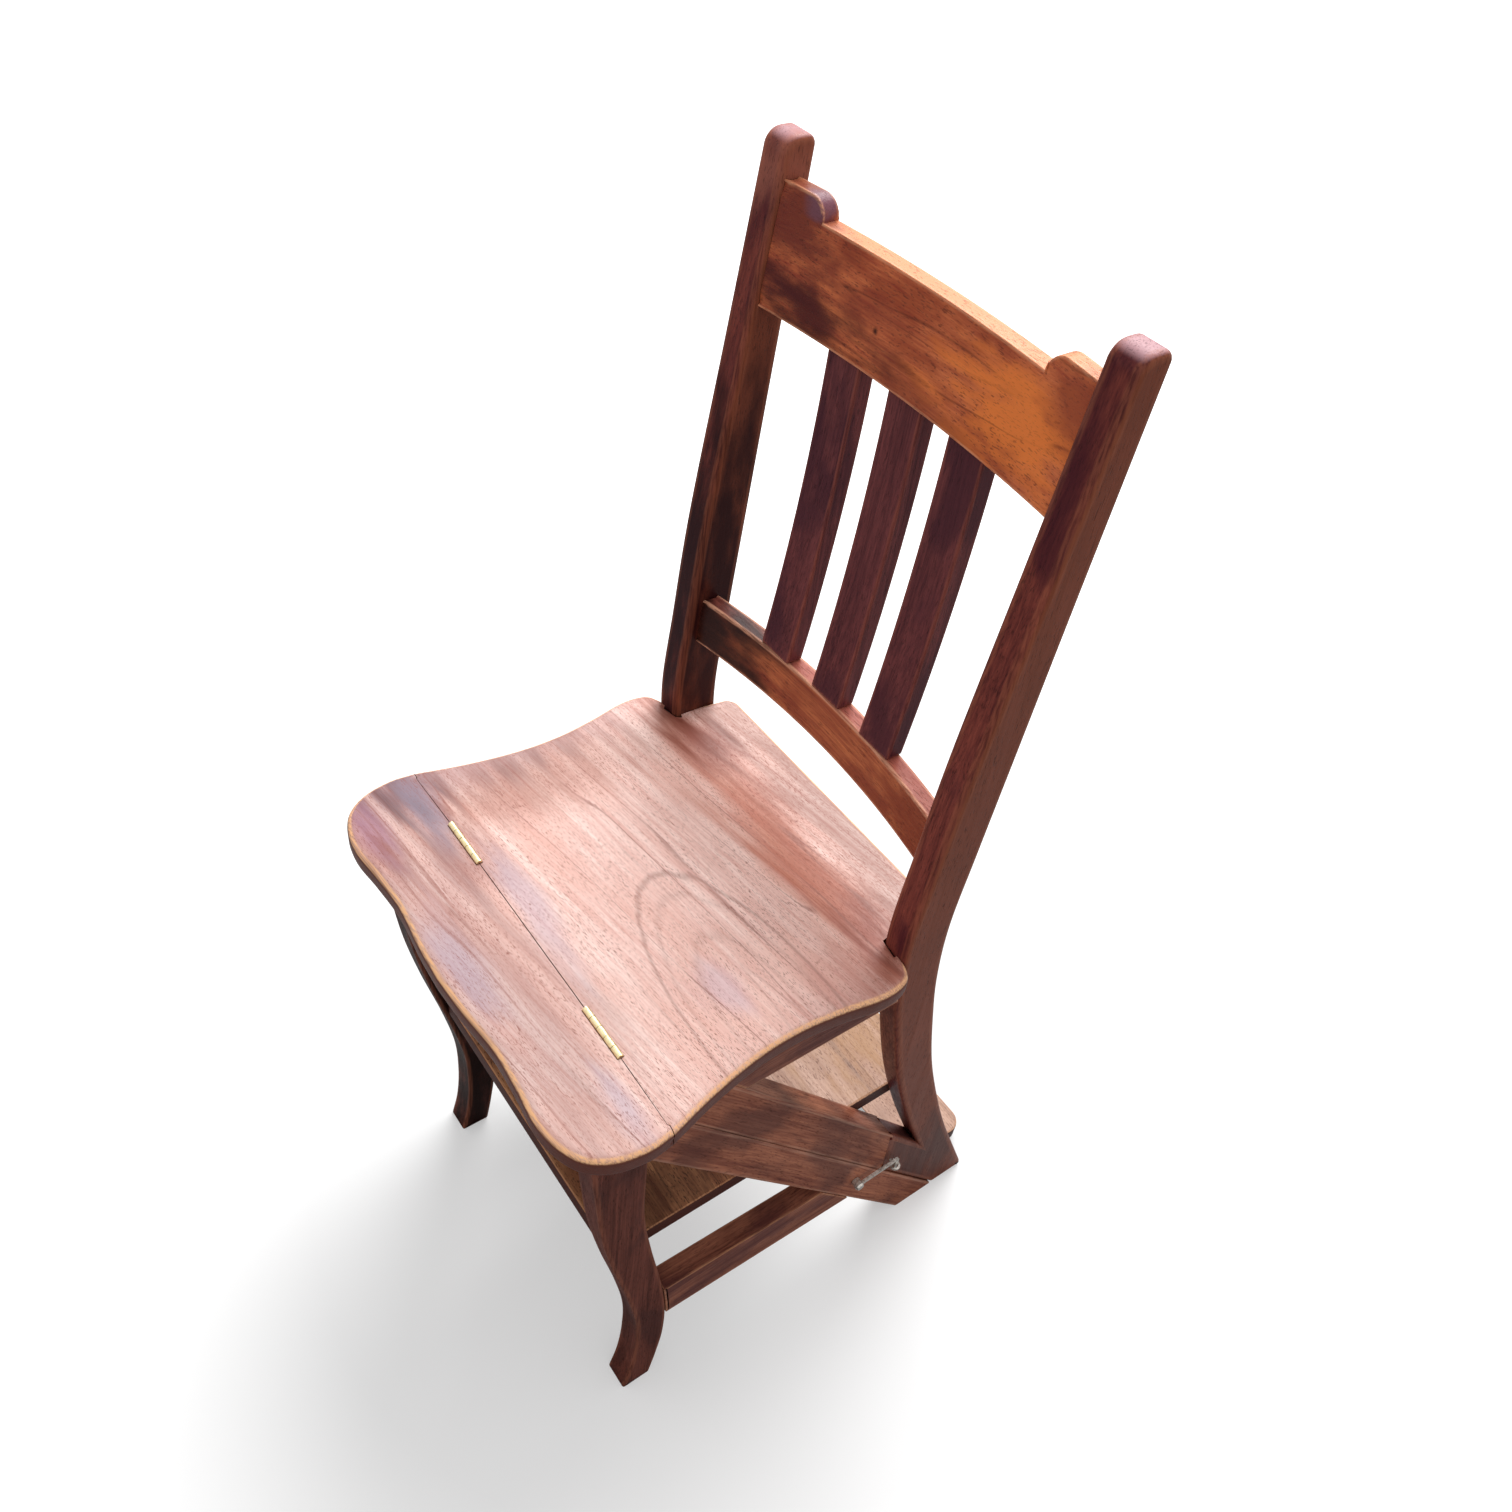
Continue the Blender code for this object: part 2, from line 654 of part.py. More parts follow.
def stile_outline():
    """A stile from its heel up the rear edge, over the top and down the front to its foot."""
    top = BACK_HEIGHT
    rear_top = at_height(STILE_REAR, top - STILE_REAR_ROUND)
    front_top = at_height(STILE_FRONT, top - STILE_FRONT_ROUND)
    heel = [(STILE_REACH - HEEL_ROUND, 0.0), (at_height(STILE_REAR, HEEL_ROUND), HEEL_ROUND)]
    rear = between_heights(STILE_REAR, HEEL_ROUND, top - STILE_REAR_ROUND)[1:-1]
    rear_cap = arc((rear_top - STILE_REAR_ROUND, top - STILE_REAR_ROUND), STILE_REAR_ROUND, 0, 90, 3)
    front_cap = arc((front_top + STILE_FRONT_ROUND, top - STILE_FRONT_ROUND), STILE_FRONT_ROUND, 90, 180, 4)
    gap = SPLIT_GAP / 2
    crotch = crossing(list(reversed(STILE_FRONT)), UPPER_RAIL_DEPTH)
    front = between_heights(STILE_FRONT, crotch[1], top - STILE_FRONT_ROUND)[:-1]
    shoulder = SHOULDER_REACH + FIT
    toe = [(shoulder, split_z(shoulder, UPPER_RAIL_DEPTH)), (shoulder, split_z(shoulder, gap))]
    return [*heel, *rear, *rear_cap, *front_cap, *reversed(front), *toe, (split_y(0, gap), 0.0)]


def make_stile(side_name, side, finish, parent, screw_hole):
    """Back post and rear leg in one sawn piece, with the heel that the split cuts."""
    low, high = sorted((side * SIDE_INNER, side * SIDE_OUTER))
    stile = add_object(f"stile_{side_name}", prism(stile_outline(), "X", low, high), finish, parent)
    soften(stile, EDGE_SOFTENING, segments=2)
    add_boolean(stile, screw_hole)
    return stile


def make_upper_rail(side_name, side, finish, parent):
    """The moving diagonal, from under the seat panel down to the stile's shoulder."""
    gap = SPLIT_GAP / 2
    top = SEAT_UNDERSIDE - FIT
    outline = [
        (split_y(top, gap), top),
        (split_y(top, UPPER_RAIL_DEPTH), top),
        (SHOULDER_REACH, split_z(SHOULDER_REACH, UPPER_RAIL_DEPTH)),
        (SHOULDER_REACH, split_z(SHOULDER_REACH, gap)),
    ]
    low, high = sorted((side * SIDE_INNER, side * SIDE_OUTER))
    rail = add_object(f"upper_side_rail_{side_name}", prism(outline, "X", low, high), finish, parent)
    soften(rail, EDGE_SOFTENING)
    return rail


def make_seat_rail(side_name, side, finish, parent, screw_holes):
    """The short rail under the seat panel, from the upper diagonal back to the stile."""
    top = SEAT_UNDERSIDE - FIT
    bottom = SEAT_UNDERSIDE - SEAT_RAIL_DEPTH
    rear = between_heights(shifted(STILE_FRONT, -FIT), bottom, top)
    offset = UPPER_RAIL_DEPTH + FIT
    outline = [*rear, (split_y(top, offset), top), (split_y(bottom, offset), bottom)]
    low, high = sorted((side * SIDE_INNER, side * SIDE_OUTER))
    rail = add_object(f"seat_side_rail_{side_name}", prism(outline, "X", low, high), finish, parent)
    soften(rail, FINE_SOFTENING)
    add_boolean(rail, screw_holes)
    return rail


# Seat

def both_sides(half):
    """A half outline of (x, y) points, read outwards, made whole about x = 0."""
    mirrored = [(-x, y) for x, y in reversed(half) if x > 0]
    return mirrored + list(half)


def make_seat_strip(finish, parent, cutters):
    """The fixed front strip of the seat, with its serpentine front edge."""
    points = [(x * SEAT_HALF_WIDTH, -y * SEAT_FRONT_REACH) for x, y in SEAT_FRONT_SHARES]
    line = smooth_line(points)
    back = -SPLIT_GAP / 2
    half = [point for point in line if point[1] < back] + [(line[-1][0], back)]
    mesh = prism(both_sides(half), "Z", SEAT_UNDERSIDE, SEAT_HEIGHT)

    def is_outer(edge):
        return any(vert.co.y < back - FIT for vert in edge.verts)

    rounded(mesh, level_edges(mesh, SEAT_HEIGHT, is_outer), SEAT_TOP_ROUND, 3)
    rounded(mesh, level_edges(mesh, SEAT_UNDERSIDE, is_outer), SEAT_BOTTOM_ROUND, 2)
    strip = add_object("seat_front_strip", mesh, finish, parent)
    for cutter in cutters:
        add_boolean(strip, cutter)
    return strip


def make_seat_panel(finish, parent, cutters):
    """The moving seat panel, notched round the stiles, with a tongue between them."""
    front = SPLIT_GAP / 2
    heights = (SEAT_UNDERSIDE, SEAT_HEIGHT)
    notch = min(at_height(STILE_FRONT, height) for height in heights) - FIT
    points = [(x * SEAT_HALF_WIDTH, y * notch) for x, y in SEAT_SIDE_SHARES]
    side_line = [point for point in smooth_line(points) if point[1] > front]
    tongue = SIDE_INNER - FIT
    corner = (tongue - SEAT_TONGUE_RADIUS, SEAT_REAR_REACH - SEAT_TONGUE_RADIUS)
    half = [
        (0.0, SEAT_REAR_REACH),
        *reversed(arc(corner, SEAT_TONGUE_RADIUS, 0, 90, 4)),
        (tongue, notch),
        *reversed(side_line),
        (points[0][0], front),
    ]
    mesh = prism(both_sides(half), "Z", *heights)

    def is_outer(edge):
        middle = (edge.verts[0].co + edge.verts[1].co) / 2
        at_notch = abs(middle.y - notch) < FIT / 2 and abs(middle.x) < SIDE_OUTER
        beside_stile = abs(abs(middle.x) - tongue) < FIT / 2
        return middle.y > front + FIT and not at_notch and not beside_stile

    rounded(mesh, level_edges(mesh, SEAT_HEIGHT, is_outer), SEAT_TOP_ROUND, 3)
    rounded(mesh, level_edges(mesh, SEAT_UNDERSIDE, is_outer), SEAT_BOTTOM_ROUND, 2)
    panel = add_object("seat_panel", mesh, finish, parent)
    for cutter in cutters:
        add_boolean(panel, cutter)


def seat_screw_places():
    """Where the screws stand that hold the seat panel on its side rails."""
    front = split_y(SEAT_UNDERSIDE - SEAT_RAIL_DEPTH, UPPER_RAIL_DEPTH)
    rear = at_height(STILE_FRONT, SEAT_UNDERSIDE - SEAT_RAIL_DEPTH)
    bottom = SEAT_UNDERSIDE - SEAT_RAIL_DEPTH
    return [(side * SIDE_MIDDLE, front + share * (rear - front), bottom)
            for side in SIDES.values() for share in SEAT_SCREW_PLACE_SHARES]


def add_seat_screws(material, parent):
    """Countersunk screws up through the seat side rails, and their holes."""
    length = SEAT_RAIL_DEPTH + SEAT_SCREW_BITE
    screw = [
        (SEAT_SCREW_HEAD_RADIUS, 0.0), (SEAT_SCREW_RADIUS, SEAT_SCREW_HEAD_DEPTH),
        (SEAT_SCREW_RADIUS, length - SEAT_SCREW_RADIUS), (0.0, length),
    ]
    hole = [
        (SEAT_SCREW_HEAD_RADIUS + 2 * FIT, -FIT), (SEAT_SCREW_RADIUS + FIT, SEAT_SCREW_HEAD_DEPTH),
        (SEAT_SCREW_RADIUS + FIT, length - SEAT_SCREW_RADIUS), (0.0, length + FIT),
    ]
    up = (0, 0, 1)
    screws = [turned(screw, place, up) for place in seat_screw_places()]
    holes = [turned(hole, place, up) for place in seat_screw_places()]
    for number, mesh in enumerate(screws, start=1):
        add_object(f"seat_screw_{number}", mesh, material, parent)
    return add_cutter("holes_for_seat_screws", merged(holes), parent)


# Treads

def plank(front, rear, bottom, top, radius):
    """A tread board between the side frames, with rounded rear corners where radius is given."""
    half_width = SIDE_INNER - FIT
    corner = (half_width - radius, rear - radius)
    rear_corner = list(reversed(arc(corner, radius, 0, 90, 5))) if radius else [(half_width, rear)]
    half = [(0.0, rear), *rear_corner, (half_width, front)]
    mesh = prism(both_sides(half), "Z", bottom, top)
    flat_edges = level_edges(mesh, bottom) + level_edges(mesh, top)
    return rounded(mesh, flat_edges, EDGE_SOFTENING, 2)


def make_lower_tread(finish, parent):
    """The fixed tread between the front legs and the lower diagonals."""
    bottom = TREAD_TOP - TREAD_THICKNESS
    mesh = plank(-LOWER_TREAD_NOSE, split_y(bottom) + OVERRUN, bottom, TREAD_TOP, 0.0)
    gap = SPLIT_GAP / 2
    trim(mesh, (0, split_y(0, -gap), 0), SPLIT_NORMAL)
    return add_object("lower_tread", mesh, finish, parent)


def make_moving_tread(name, reach, bottom, finish, parent):
    """A tread of the rear frame: its front edge lies on the split, its rear corners are round."""
    top = bottom + TREAD_THICKNESS
    mesh = plank(split_y(top) - OVERRUN, reach, bottom, top, TREAD_CORNER_RADIUS)
    gap = SPLIT_GAP / 2
    trim(mesh, (0, split_y(0, gap), 0), -SPLIT_NORMAL)
    return add_object(name, mesh, finish, parent)


# Back

def bowed(x, depth):
    """How far a back rail has bowed rearwards at an x."""
    return depth * (1 - (x / SIDE_INNER) ** 2)


def crest_face(x, z):
    """The y of the crest rail's front face."""
    return stile_front(z) + CREST_SETBACK + bowed(x, CREST_BOW)


def crest_thickness(z):
    """The crest rail's thickness, which grows towards its lower edge."""
    share = (z - CREST_BOTTOM) / (CREST_TOP - CREST_BOTTOM)
    return CREST_BOTTOM_THICKNESS + share * (CREST_TOP_THICKNESS - CREST_BOTTOM_THICKNESS)


def low_rail_face(x, z):
    """The y of the lower back rail's front face."""
    return stile_front(z) + LOW_RAIL_SETBACK + bowed(x, LOW_RAIL_BOW)


def low_rail_thickness(_):
    """The lower back rail's thickness, the same at every height."""
    return LOW_RAIL_THICKNESS


def bowed_rail(stations, face, thickness):
    """A curved rail from (x, bottom, top) stations, the y of its front face and its thickness."""
    mesh = bmesh.new()
    rings = []
    for x, bottom, top in stations:
        low, high = face(x, bottom), face(x, top)
        corners = [
            (low, bottom), (high, top),
            (high + thickness(top), top), (low + thickness(bottom), bottom),
        ]
        rings.append([mesh.verts.new((x, y, z)) for y, z in corners])
    for a, b in zip(rings, rings[1:]):
        for i in range(4):
            j = (i + 1) % 4
            mesh.faces.new((a[i], a[j], b[j], b[i]))
    mesh.faces.new(rings[0])
    mesh.faces.new(rings[-1])
    bmesh.ops.recalc_face_normals(mesh, faces=mesh.faces)
    return mesh


def make_crest_rail(finish, parent, mortises):
    """The crest rail: high at both ends, stepping down over a quarter round to its middle."""
    end = SIDE_INNER - FIT
    shoulder = arc((CREST_STEP_PLACE + CREST_STEP, CREST_MIDDLE_TOP), CREST_STEP, 180, 90, 5)
    middle_count = 6
    half = [(CREST_STEP_PLACE * i / middle_count, CREST_MIDDLE_TOP) for i in range(middle_count)]
    half += shoulder + [(end, CREST_TOP)]
    whole = [(-x, z) for x, z in reversed(half) if x > 0] + half
    stations = [(x, CREST_BOTTOM, z) for x, z in whole]
    mesh = bowed_rail(stations, crest_face, crest_thickness)
    rail = add_object("crest_rail", mesh, finish, parent)
    soften(rail, FINE_SOFTENING)
    add_boolean(rail, mortises)
    return rail


def make_low_rail(finish, parent, mortises):
    """The lower back rail, bowed back like the crest rail."""
    end = SIDE_INNER - FIT
    count = 14
    places = [end * (2 * i / count - 1) for i in range(count + 1)]
    stations = [(x, LOW_RAIL_TOP - LOW_RAIL_DEPTH, LOW_RAIL_TOP) for x in places]
    mesh = bowed_rail(stations, low_rail_face, low_rail_thickness)
    rail = add_object("lower_back_rail", mesh, finish, parent)
    soften(rail, FINE_SOFTENING)
    add_boolean(rail, mortises)
    return rail


def slat_line(x):
    """The middle of a slat's depth where it meets the two back rails, as (y, z) points."""
    half = SLAT_THICKNESS / 2
    return ((low_rail_face(x, LOW_RAIL_TOP) + half, LOW_RAIL_TOP),
            (crest_face(x, CREST_BOTTOM) + SLAT_TOP_SETBACK + half, CREST_BOTTOM))


def leaning_bar(x, low, high, width, depth, bow=0.0, steps=1):
    """A bar along a slat's line between two heights, bowed back in its middle."""
    (y0, z0), (y1, z1) = slat_line(x)
    front, rear = [], []
    for i in range(steps + 1):
        share = i / steps
        z = low + share * (high - low)
        y = y0 + (y1 - y0) * (z - z0) / (z1 - z0) + 4 * bow * share * (1 - share)
        front.append((y - depth / 2, z))
        rear.append((y + depth / 2, z))
    return prism(front + rear[::-1], "X", x - width / 2, x + width / 2)


def slat_tenons(x, spare=0.0):
    """The bars that make a slat's tenons, or their mortises where there is room to spare."""
    width, depth = SLAT_WIDTH * TENON_SHARE, SLAT_THICKNESS * TENON_SHARE
    ends = (
        (LOW_RAIL_TOP - SLAT_TENON - spare, LOW_RAIL_TOP + TENON_ROOT),
        (CREST_BOTTOM - TENON_ROOT, CREST_BOTTOM + SLAT_TENON + spare),
    )
    bars = [leaning_bar(x, low, high, width + 2 * spare, depth + 2 * spare) for low, high in ends]
    return merged(bars)


def make_slat(name, x, finish, parent):
    """A back slat with a tenon at each end."""
    ends = LOW_RAIL_TOP + FIT, CREST_BOTTOM - FIT
    bar = leaning_bar(x, *ends, SLAT_WIDTH, SLAT_THICKNESS, SLAT_BOW, SLAT_STEPS)
    slat = add_object(name, bar, finish, parent)
    soften(slat, FINE_SOFTENING)
    add_boolean(slat, add_cutter(f"tenons_of_{name}", slat_tenons(x), parent), "UNION")


def add_mortises(places, parent):
    """The cutter for the slats' mortises in both back rails."""
    return add_cutter("slat_mortises", merged([slat_tenons(x, FIT) for x in places]), parent)


# Hinges

def leaf_plate(x, facing):
    """A hinge leaf's plate in the split; facing is -1 in the front strip and 1 in the panel."""
    inner = facing * LEAF_GAP / 2
    outer = inner + facing * LEAF_THICKNESS
    left = x - HINGE_LENGTH / 2
    step = HINGE_LENGTH / KNUCKLE_COUNT
    under = AXIS_HEIGHT - KNUCKLE_RADIUS - LEAF_GAP
    bottom = under - LEAF_DEPTH
    mesh = bmesh.new()
    outline = [(left, bottom)]
    for i in range(KNUCKLE_COUNT):
        own = (i % 2 == 0) == (facing < 0)
        level = AXIS_HEIGHT if own else under
        spare = LEAF_GAP / 2 if own else -LEAF_GAP / 2
        start = left + i * step + (spare if i else 0.0)
        end = left + (i + 1) * step - (spare if i < KNUCKLE_COUNT - 1 else 0.0)
        outline += [(start, level), (end, level)]
    outline.append((left + HINGE_LENGTH, bottom))
    rings = [[mesh.verts.new((a, y, b)) for a, b in outline] for y in sorted((inner, outer))]
    mesh.faces.new(rings[0])
    mesh.faces.new(rings[1])
    for i, vert in enumerate(rings[0]):
        j = (i + 1) % len(outline)
        mesh.faces.new((vert, rings[0][j], rings[1][j], rings[1][i]))
    bmesh.ops.recalc_face_normals(mesh, faces=mesh.faces)
    return mesh


def leaf_knuckles(x, facing):
    """The barrel pieces of a leaf."""
    left = x - HINGE_LENGTH / 2
    step = HINGE_LENGTH / KNUCKLE_COUNT
    barrels = []
    for i in range(KNUCKLE_COUNT):
        if (i % 2 == 0) != (facing < 0):
            continue
        start = left + i * step + (LEAF_GAP / 2 if i else 0.0)
        end = left + (i + 1) * step - (LEAF_GAP / 2 if i < KNUCKLE_COUNT - 1 else 0.0)
        barrels.append(cylinder((start, 0, AXIS_HEIGHT), (end, 0, AXIS_HEIGHT), KNUCKLE_RADIUS, 16))
    return merged(barrels)


def leaf_recess(x, facing):
    """The cutter for a leaf's seat in the wood, with room for the barrel above it."""
    side = HINGE_LENGTH / 2 + FIT
    deep = facing * (LEAF_GAP / 2 + LEAF_THICKNESS + FIT)
    relief = facing * (KNUCKLE_RADIUS + LEAF_GAP)
    floor = AXIS_HEIGHT - KNUCKLE_RADIUS - LEAF_GAP
    bottom = floor - LEAF_DEPTH - FIT
    mouth = -facing * KNUCKLE_RADIUS
    top = SEAT_HEIGHT + OVERRUN
    outline = [(deep, bottom), (mouth, bottom), (mouth, top), (relief, top), (relief, floor), (deep, floor)]
    return prism(outline, "X", x - side, x + side)


def hinge_screw_places(facing):
    """Where the hinge screws of all leaves on one side start."""
    z = AXIS_HEIGHT - KNUCKLE_RADIUS - LEAF_GAP - LEAF_DEPTH / 2
    offset = HINGE_LENGTH * HINGE_SCREW_PLACE_SHARE
    return [(side * HINGE_PLACE + end * offset, facing * LEAF_GAP / 2, z)
            for side in SIDES.values() for end in (-1, 1)]


def add_hinge_screws(name, facing, material, parent):
    """Countersunk brass screws through the leaves, and the cutter for their holes."""
    length = HINGE_SCREW_LENGTH
    head, shank = HINGE_SCREW_HEAD, HINGE_SCREW_SHANK
    screw = [(head, 0.0), (shank, LEAF_THICKNESS), (shank, length - shank), (0.0, length)]
    hole = [
        (head + 2 * FIT, -FIT), (shank + FIT, LEAF_THICKNESS + FIT), (shank + FIT, length - shank),
        (0.0, length + FIT),
    ]
    direction = (0, facing, 0)
    screws = [turned(screw, place, direction) for place in hinge_screw_places(facing)]
    holes = [turned(hole, place, direction) for place in hinge_screw_places(facing)]
    for number, mesh in enumerate(screws, start=1):
        add_object(f"{name}_{number}", mesh, material, parent)
    return add_cutter(f"holes_for_{name}", merged(holes), parent)


def make_leaf(name, x, facing, material, parent, screw_holes):
    """One leaf of a butt hinge with its knuckles, pin hole and screw holes."""
    leaf = add_object(name, leaf_plate(x, facing), material, parent)
    knuckles = add_cutter(f"knuckles_of_{name}", leaf_knuckles(x, facing), parent)
    reach = HINGE_LENGTH / 2 + OVERRUN
    radius = HINGE_PIN_RADIUS + HINGE_PIN_CLEARANCE
    bore = cylinder((x - reach, 0, AXIS_HEIGHT), (x + reach, 0, AXIS_HEIGHT), radius, 16)
    add_boolean(leaf, knuckles, "UNION")
    add_boolean(leaf, add_cutter(f"bore_of_{name}", bore, parent))
    add_boolean(leaf, screw_holes)


def make_hinge_pin(name, x, material, parent):
    """The pin through a hinge's knuckles."""
    half = HINGE_LENGTH / 2
    pin = cylinder((x - half, 0, AXIS_HEIGHT), (x + half, 0, AXIS_HEIGHT), HINGE_PIN_RADIUS, 16)
    add_object(name, pin, material, parent)


# Latch on the sitter's left side

def latch_points():
    """The (y, z) of the hook's pivot on the lower rail and of the eye on the stile's foot."""
    eye_y = SHOULDER_REACH + LATCH_EYE_REACH
    pivot_y = eye_y - LATCH_SPAN
    return (pivot_y, split_z(pivot_y, -LATCH_PIVOT_DEPTH)), (eye_y, split_z(eye_y, LATCH_EYE_DEPTH))


def hook_outline():
    """The hook from the side: a straight bar whose tip turns down through the eye."""
    (pivot_y, pivot_z), (eye_y, eye_z) = latch_points()
    half = HOOK_WIDTH / 2
    elbow_z = eye_z + LATCH_TIP_RISE
    slope = (elbow_z - pivot_z) / (eye_y - pivot_y)
    lift = half * math.hypot(1, slope)
    start = 90 + math.degrees(math.atan(slope))
    bottom = eye_z - LATCH_TIP_DROP
    inner_y = eye_y - half
    return [
        (pivot_y, pivot_z + lift), *arc((eye_y, elbow_z), half, start, 0, 5),
        (eye_y + half, bottom + half), (eye_y, bottom), (inner_y, bottom + half),
        (inner_y, elbow_z - lift - slope * half), (pivot_y, pivot_z - lift),
    ]


def make_hook(material, parent):
    """The steel hook: a ring at its pivot, a flat bar and a tip turned down."""
    (y, z), _ = latch_points()
    low, high = HOOK_MIDDLE - HOOK_THICKNESS / 2, HOOK_MIDDLE + HOOK_THICKNESS / 2
    hook = add_object("latch_hook", prism(hook_outline(), "X", low, high), material, parent)
    ring = cylinder((low, y, z), (high, y, z), HOOK_RING_RADIUS, 20)
    hole = cylinder((low - OVERRUN, y, z), (high + OVERRUN, y, z), LATCH_SCREW_RADIUS + FIT, 16)
    add_boolean(hook, add_cutter("ring_of_latch_hook", ring, parent), "UNION")
    add_boolean(hook, add_cutter("hole_of_latch_hook", hole, parent))


def latch_hole(name, place, radius, parent):
    """The cutter for a latch screw's hole in a side frame."""
    profile = [
        (0.0, -LATCH_SCREW_GRIP - FIT),
        (radius + FIT, radius - LATCH_SCREW_GRIP), (radius + FIT, OVERRUN),
    ]
    return add_cutter(f"hole_for_{name}", turned(profile, (SIDE_OUTER, *place), (1, 0, 0), 16), parent)


def make_pivot_screw(material, parent):
    """The round-headed screw that the hook turns on, with a collar that stands it off the wood."""
    place, _ = latch_points()
    collar = HOOK_MIDDLE - SIDE_OUTER - HOOK_THICKNESS / 2 - FIT
    head = collar + HOOK_THICKNESS + 2 * FIT
    crown = head + LATCH_HEAD_THICKNESS
    wide, narrow = LATCH_HEAD_RADIUS, LATCH_SCREW_RADIUS
    profile = [
        (0.0, -LATCH_SCREW_GRIP), (narrow, narrow - LATCH_SCREW_GRIP), (narrow, FIT), (wide, FIT),
        (wide, collar), (narrow, collar), (narrow, head), (wide, head),
        (wide * LATCH_HEAD_SHARE, crown), (0.0, crown),
    ]
    mesh = turned(profile, (SIDE_OUTER, *place), (1, 0, 0), 16)
    add_object("latch_pivot_screw", mesh, material, parent)
    return latch_hole("latch_pivot_screw", place, narrow, parent)


def make_eye(material, parent):
    """The screw eye on the stile's foot, its ring lying flat for the hook's tip."""
    _, place = latch_points()
    y, z = place
    radius = EYE_SHANK_RADIUS
    reach = HOOK_MIDDLE - SIDE_OUTER - EYE_HOLE_RADIUS - EYE_WIRE / 2
    profile = [(0.0, -LATCH_SCREW_GRIP), (radius, radius - LATCH_SCREW_GRIP), (radius, reach), (0.0, reach)]
    eye = add_object("latch_eye", turned(profile, (SIDE_OUTER, y, z), (1, 0, 0), 16), material, parent)
    half = EYE_WIRE / 2
    ring = cylinder((HOOK_MIDDLE, y, z - half), (HOOK_MIDDLE, y, z + half), EYE_RADIUS, 20)
    hole = cylinder((HOOK_MIDDLE, y, z - OVERRUN), (HOOK_MIDDLE, y, z + OVERRUN), EYE_HOLE_RADIUS, 20)
    add_boolean(eye, add_cutter("ring_of_latch_eye", ring, parent), "UNION")
    add_boolean(eye, add_cutter("hole_of_latch_eye", hole, parent))
    return latch_hole("latch_eye", place, radius, parent)


# The chair

def make_front_frame(finishes, frame):
    """Everything that stays on the floor when the chair opens."""
    wood, brass = finishes["frame_wood"], finishes["brass"]
    screw_holes = add_hinge_screws("hinge_screw_front", -1, brass, frame)
    pivot_hole = make_pivot_screw(finishes["steel"], frame)
    recesses = merged([leaf_recess(side * HINGE_PLACE, -1) for side in SIDES.values()])
    recess = add_cutter("recesses_front", recesses, frame)
    pieces = [
        make_seat_strip(finishes["seat_wood"], frame, (recess, screw_holes)),
        make_lower_tread(finishes["tread_wood"], frame),
    ]
    tenons = []
    for name, side in SIDES.items():
        pieces.append(make_front_leg(name, side, wood, frame))
        pieces.append(make_lower_rail(name, side, wood, frame, pivot_hole))
        pieces.append(make_stretcher(name, side, wood, frame))
        tenons.extend(front_tenons(name, side))
        make_leaf(f"hinge_leaf_front_{name}", side * HINGE_PLACE, -1, brass, frame, screw_holes)
        make_hinge_pin(f"hinge_pin_{name}", side * HINGE_PLACE, brass, frame)
    fit_tenons({piece.name: piece for piece in pieces}, tenons, frame)


def make_rear_frame(finishes, frame):
    """Everything that turns over on the hinges."""
    wood, brass = finishes["frame_wood"], finishes["brass"]
    seat_screw_holes = add_seat_screws(finishes["steel"], frame)
    screw_holes = add_hinge_screws("hinge_screw_rear", 1, brass, frame)
    eye_hole = make_eye(finishes["steel"], frame)
    recesses = merged([leaf_recess(side * HINGE_PLACE, 1) for side in SIDES.values()])
    recess = add_cutter("recesses_rear", recesses, frame)
    slats = {"left": SLAT_SPACING, "middle": 0.0, "right": -SLAT_SPACING}
    mortises = add_mortises(slats.values(), frame)
    tread, middle_bottom = finishes["tread_wood"], TREAD_TOP - TREAD_THICKNESS
    pieces = [
        make_crest_rail(finishes["crest_wood"], frame, mortises),
        make_low_rail(wood, frame, mortises),
        make_moving_tread("middle_tread", MIDDLE_TREAD_REACH, middle_bottom, tread, frame),
        make_moving_tread("top_tread", TOP_TREAD_REACH, TOP_TREAD_LIFT, tread, frame),
    ]
    tenons = []
    for name, side in SIDES.items():
        pieces.append(make_stile(name, side, wood, frame, eye_hole))
        pieces.append(make_upper_rail(name, side, wood, frame))
        pieces.append(make_seat_rail(name, side, wood, frame, seat_screw_holes))
        tenons.extend(rear_tenons(name, side) + back_tenons(name, side))
        make_leaf(f"hinge_leaf_rear_{name}", side * HINGE_PLACE, 1, brass, frame, screw_holes)
    make_seat_panel(finishes["seat_wood"], frame, (recess, screw_holes, seat_screw_holes))
    for name, x in slats.items():
        make_slat(f"back_slat_{name}", x, wood, frame)
    fit_tenons({piece.name: piece for piece in pieces}, tenons, frame)


def main():
    """Clear the scene and build the chair."""
    for obj in list(bpy.data.objects):
        bpy.data.objects.remove(obj, do_unlink=True)
    finishes = make_materials()
    (pivot_y, pivot_z), _ = latch_points()
    floor_datum = add_empty("floor_datum", (0, HINGE_LINE_Y, 0))
    hinge_axis = add_empty("hinge_axis", (0, HINGE_LINE_Y, AXIS_HEIGHT))
    hook_axis = add_empty("hook_axis", (SIDE_OUTER, HINGE_LINE_Y + pivot_y, pivot_z))
    make_front_frame(finishes, floor_datum)
    make_rear_frame(finishes, hinge_axis)
    make_hook(finishes["steel"], hook_axis)


main()
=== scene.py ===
"""Dresses the library step chair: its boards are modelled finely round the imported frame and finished.

Chair coordinates, in millimetres, have y counted from the hinge line and z from the floor. They are
moved and scaled to the frame's metres when a piece's corners are placed.
"""
import logging
import math
from collections.abc import Callable, Iterator
from contextlib import contextmanager
from dataclasses import dataclass, field
from enum import Enum
from functools import partial, reduce

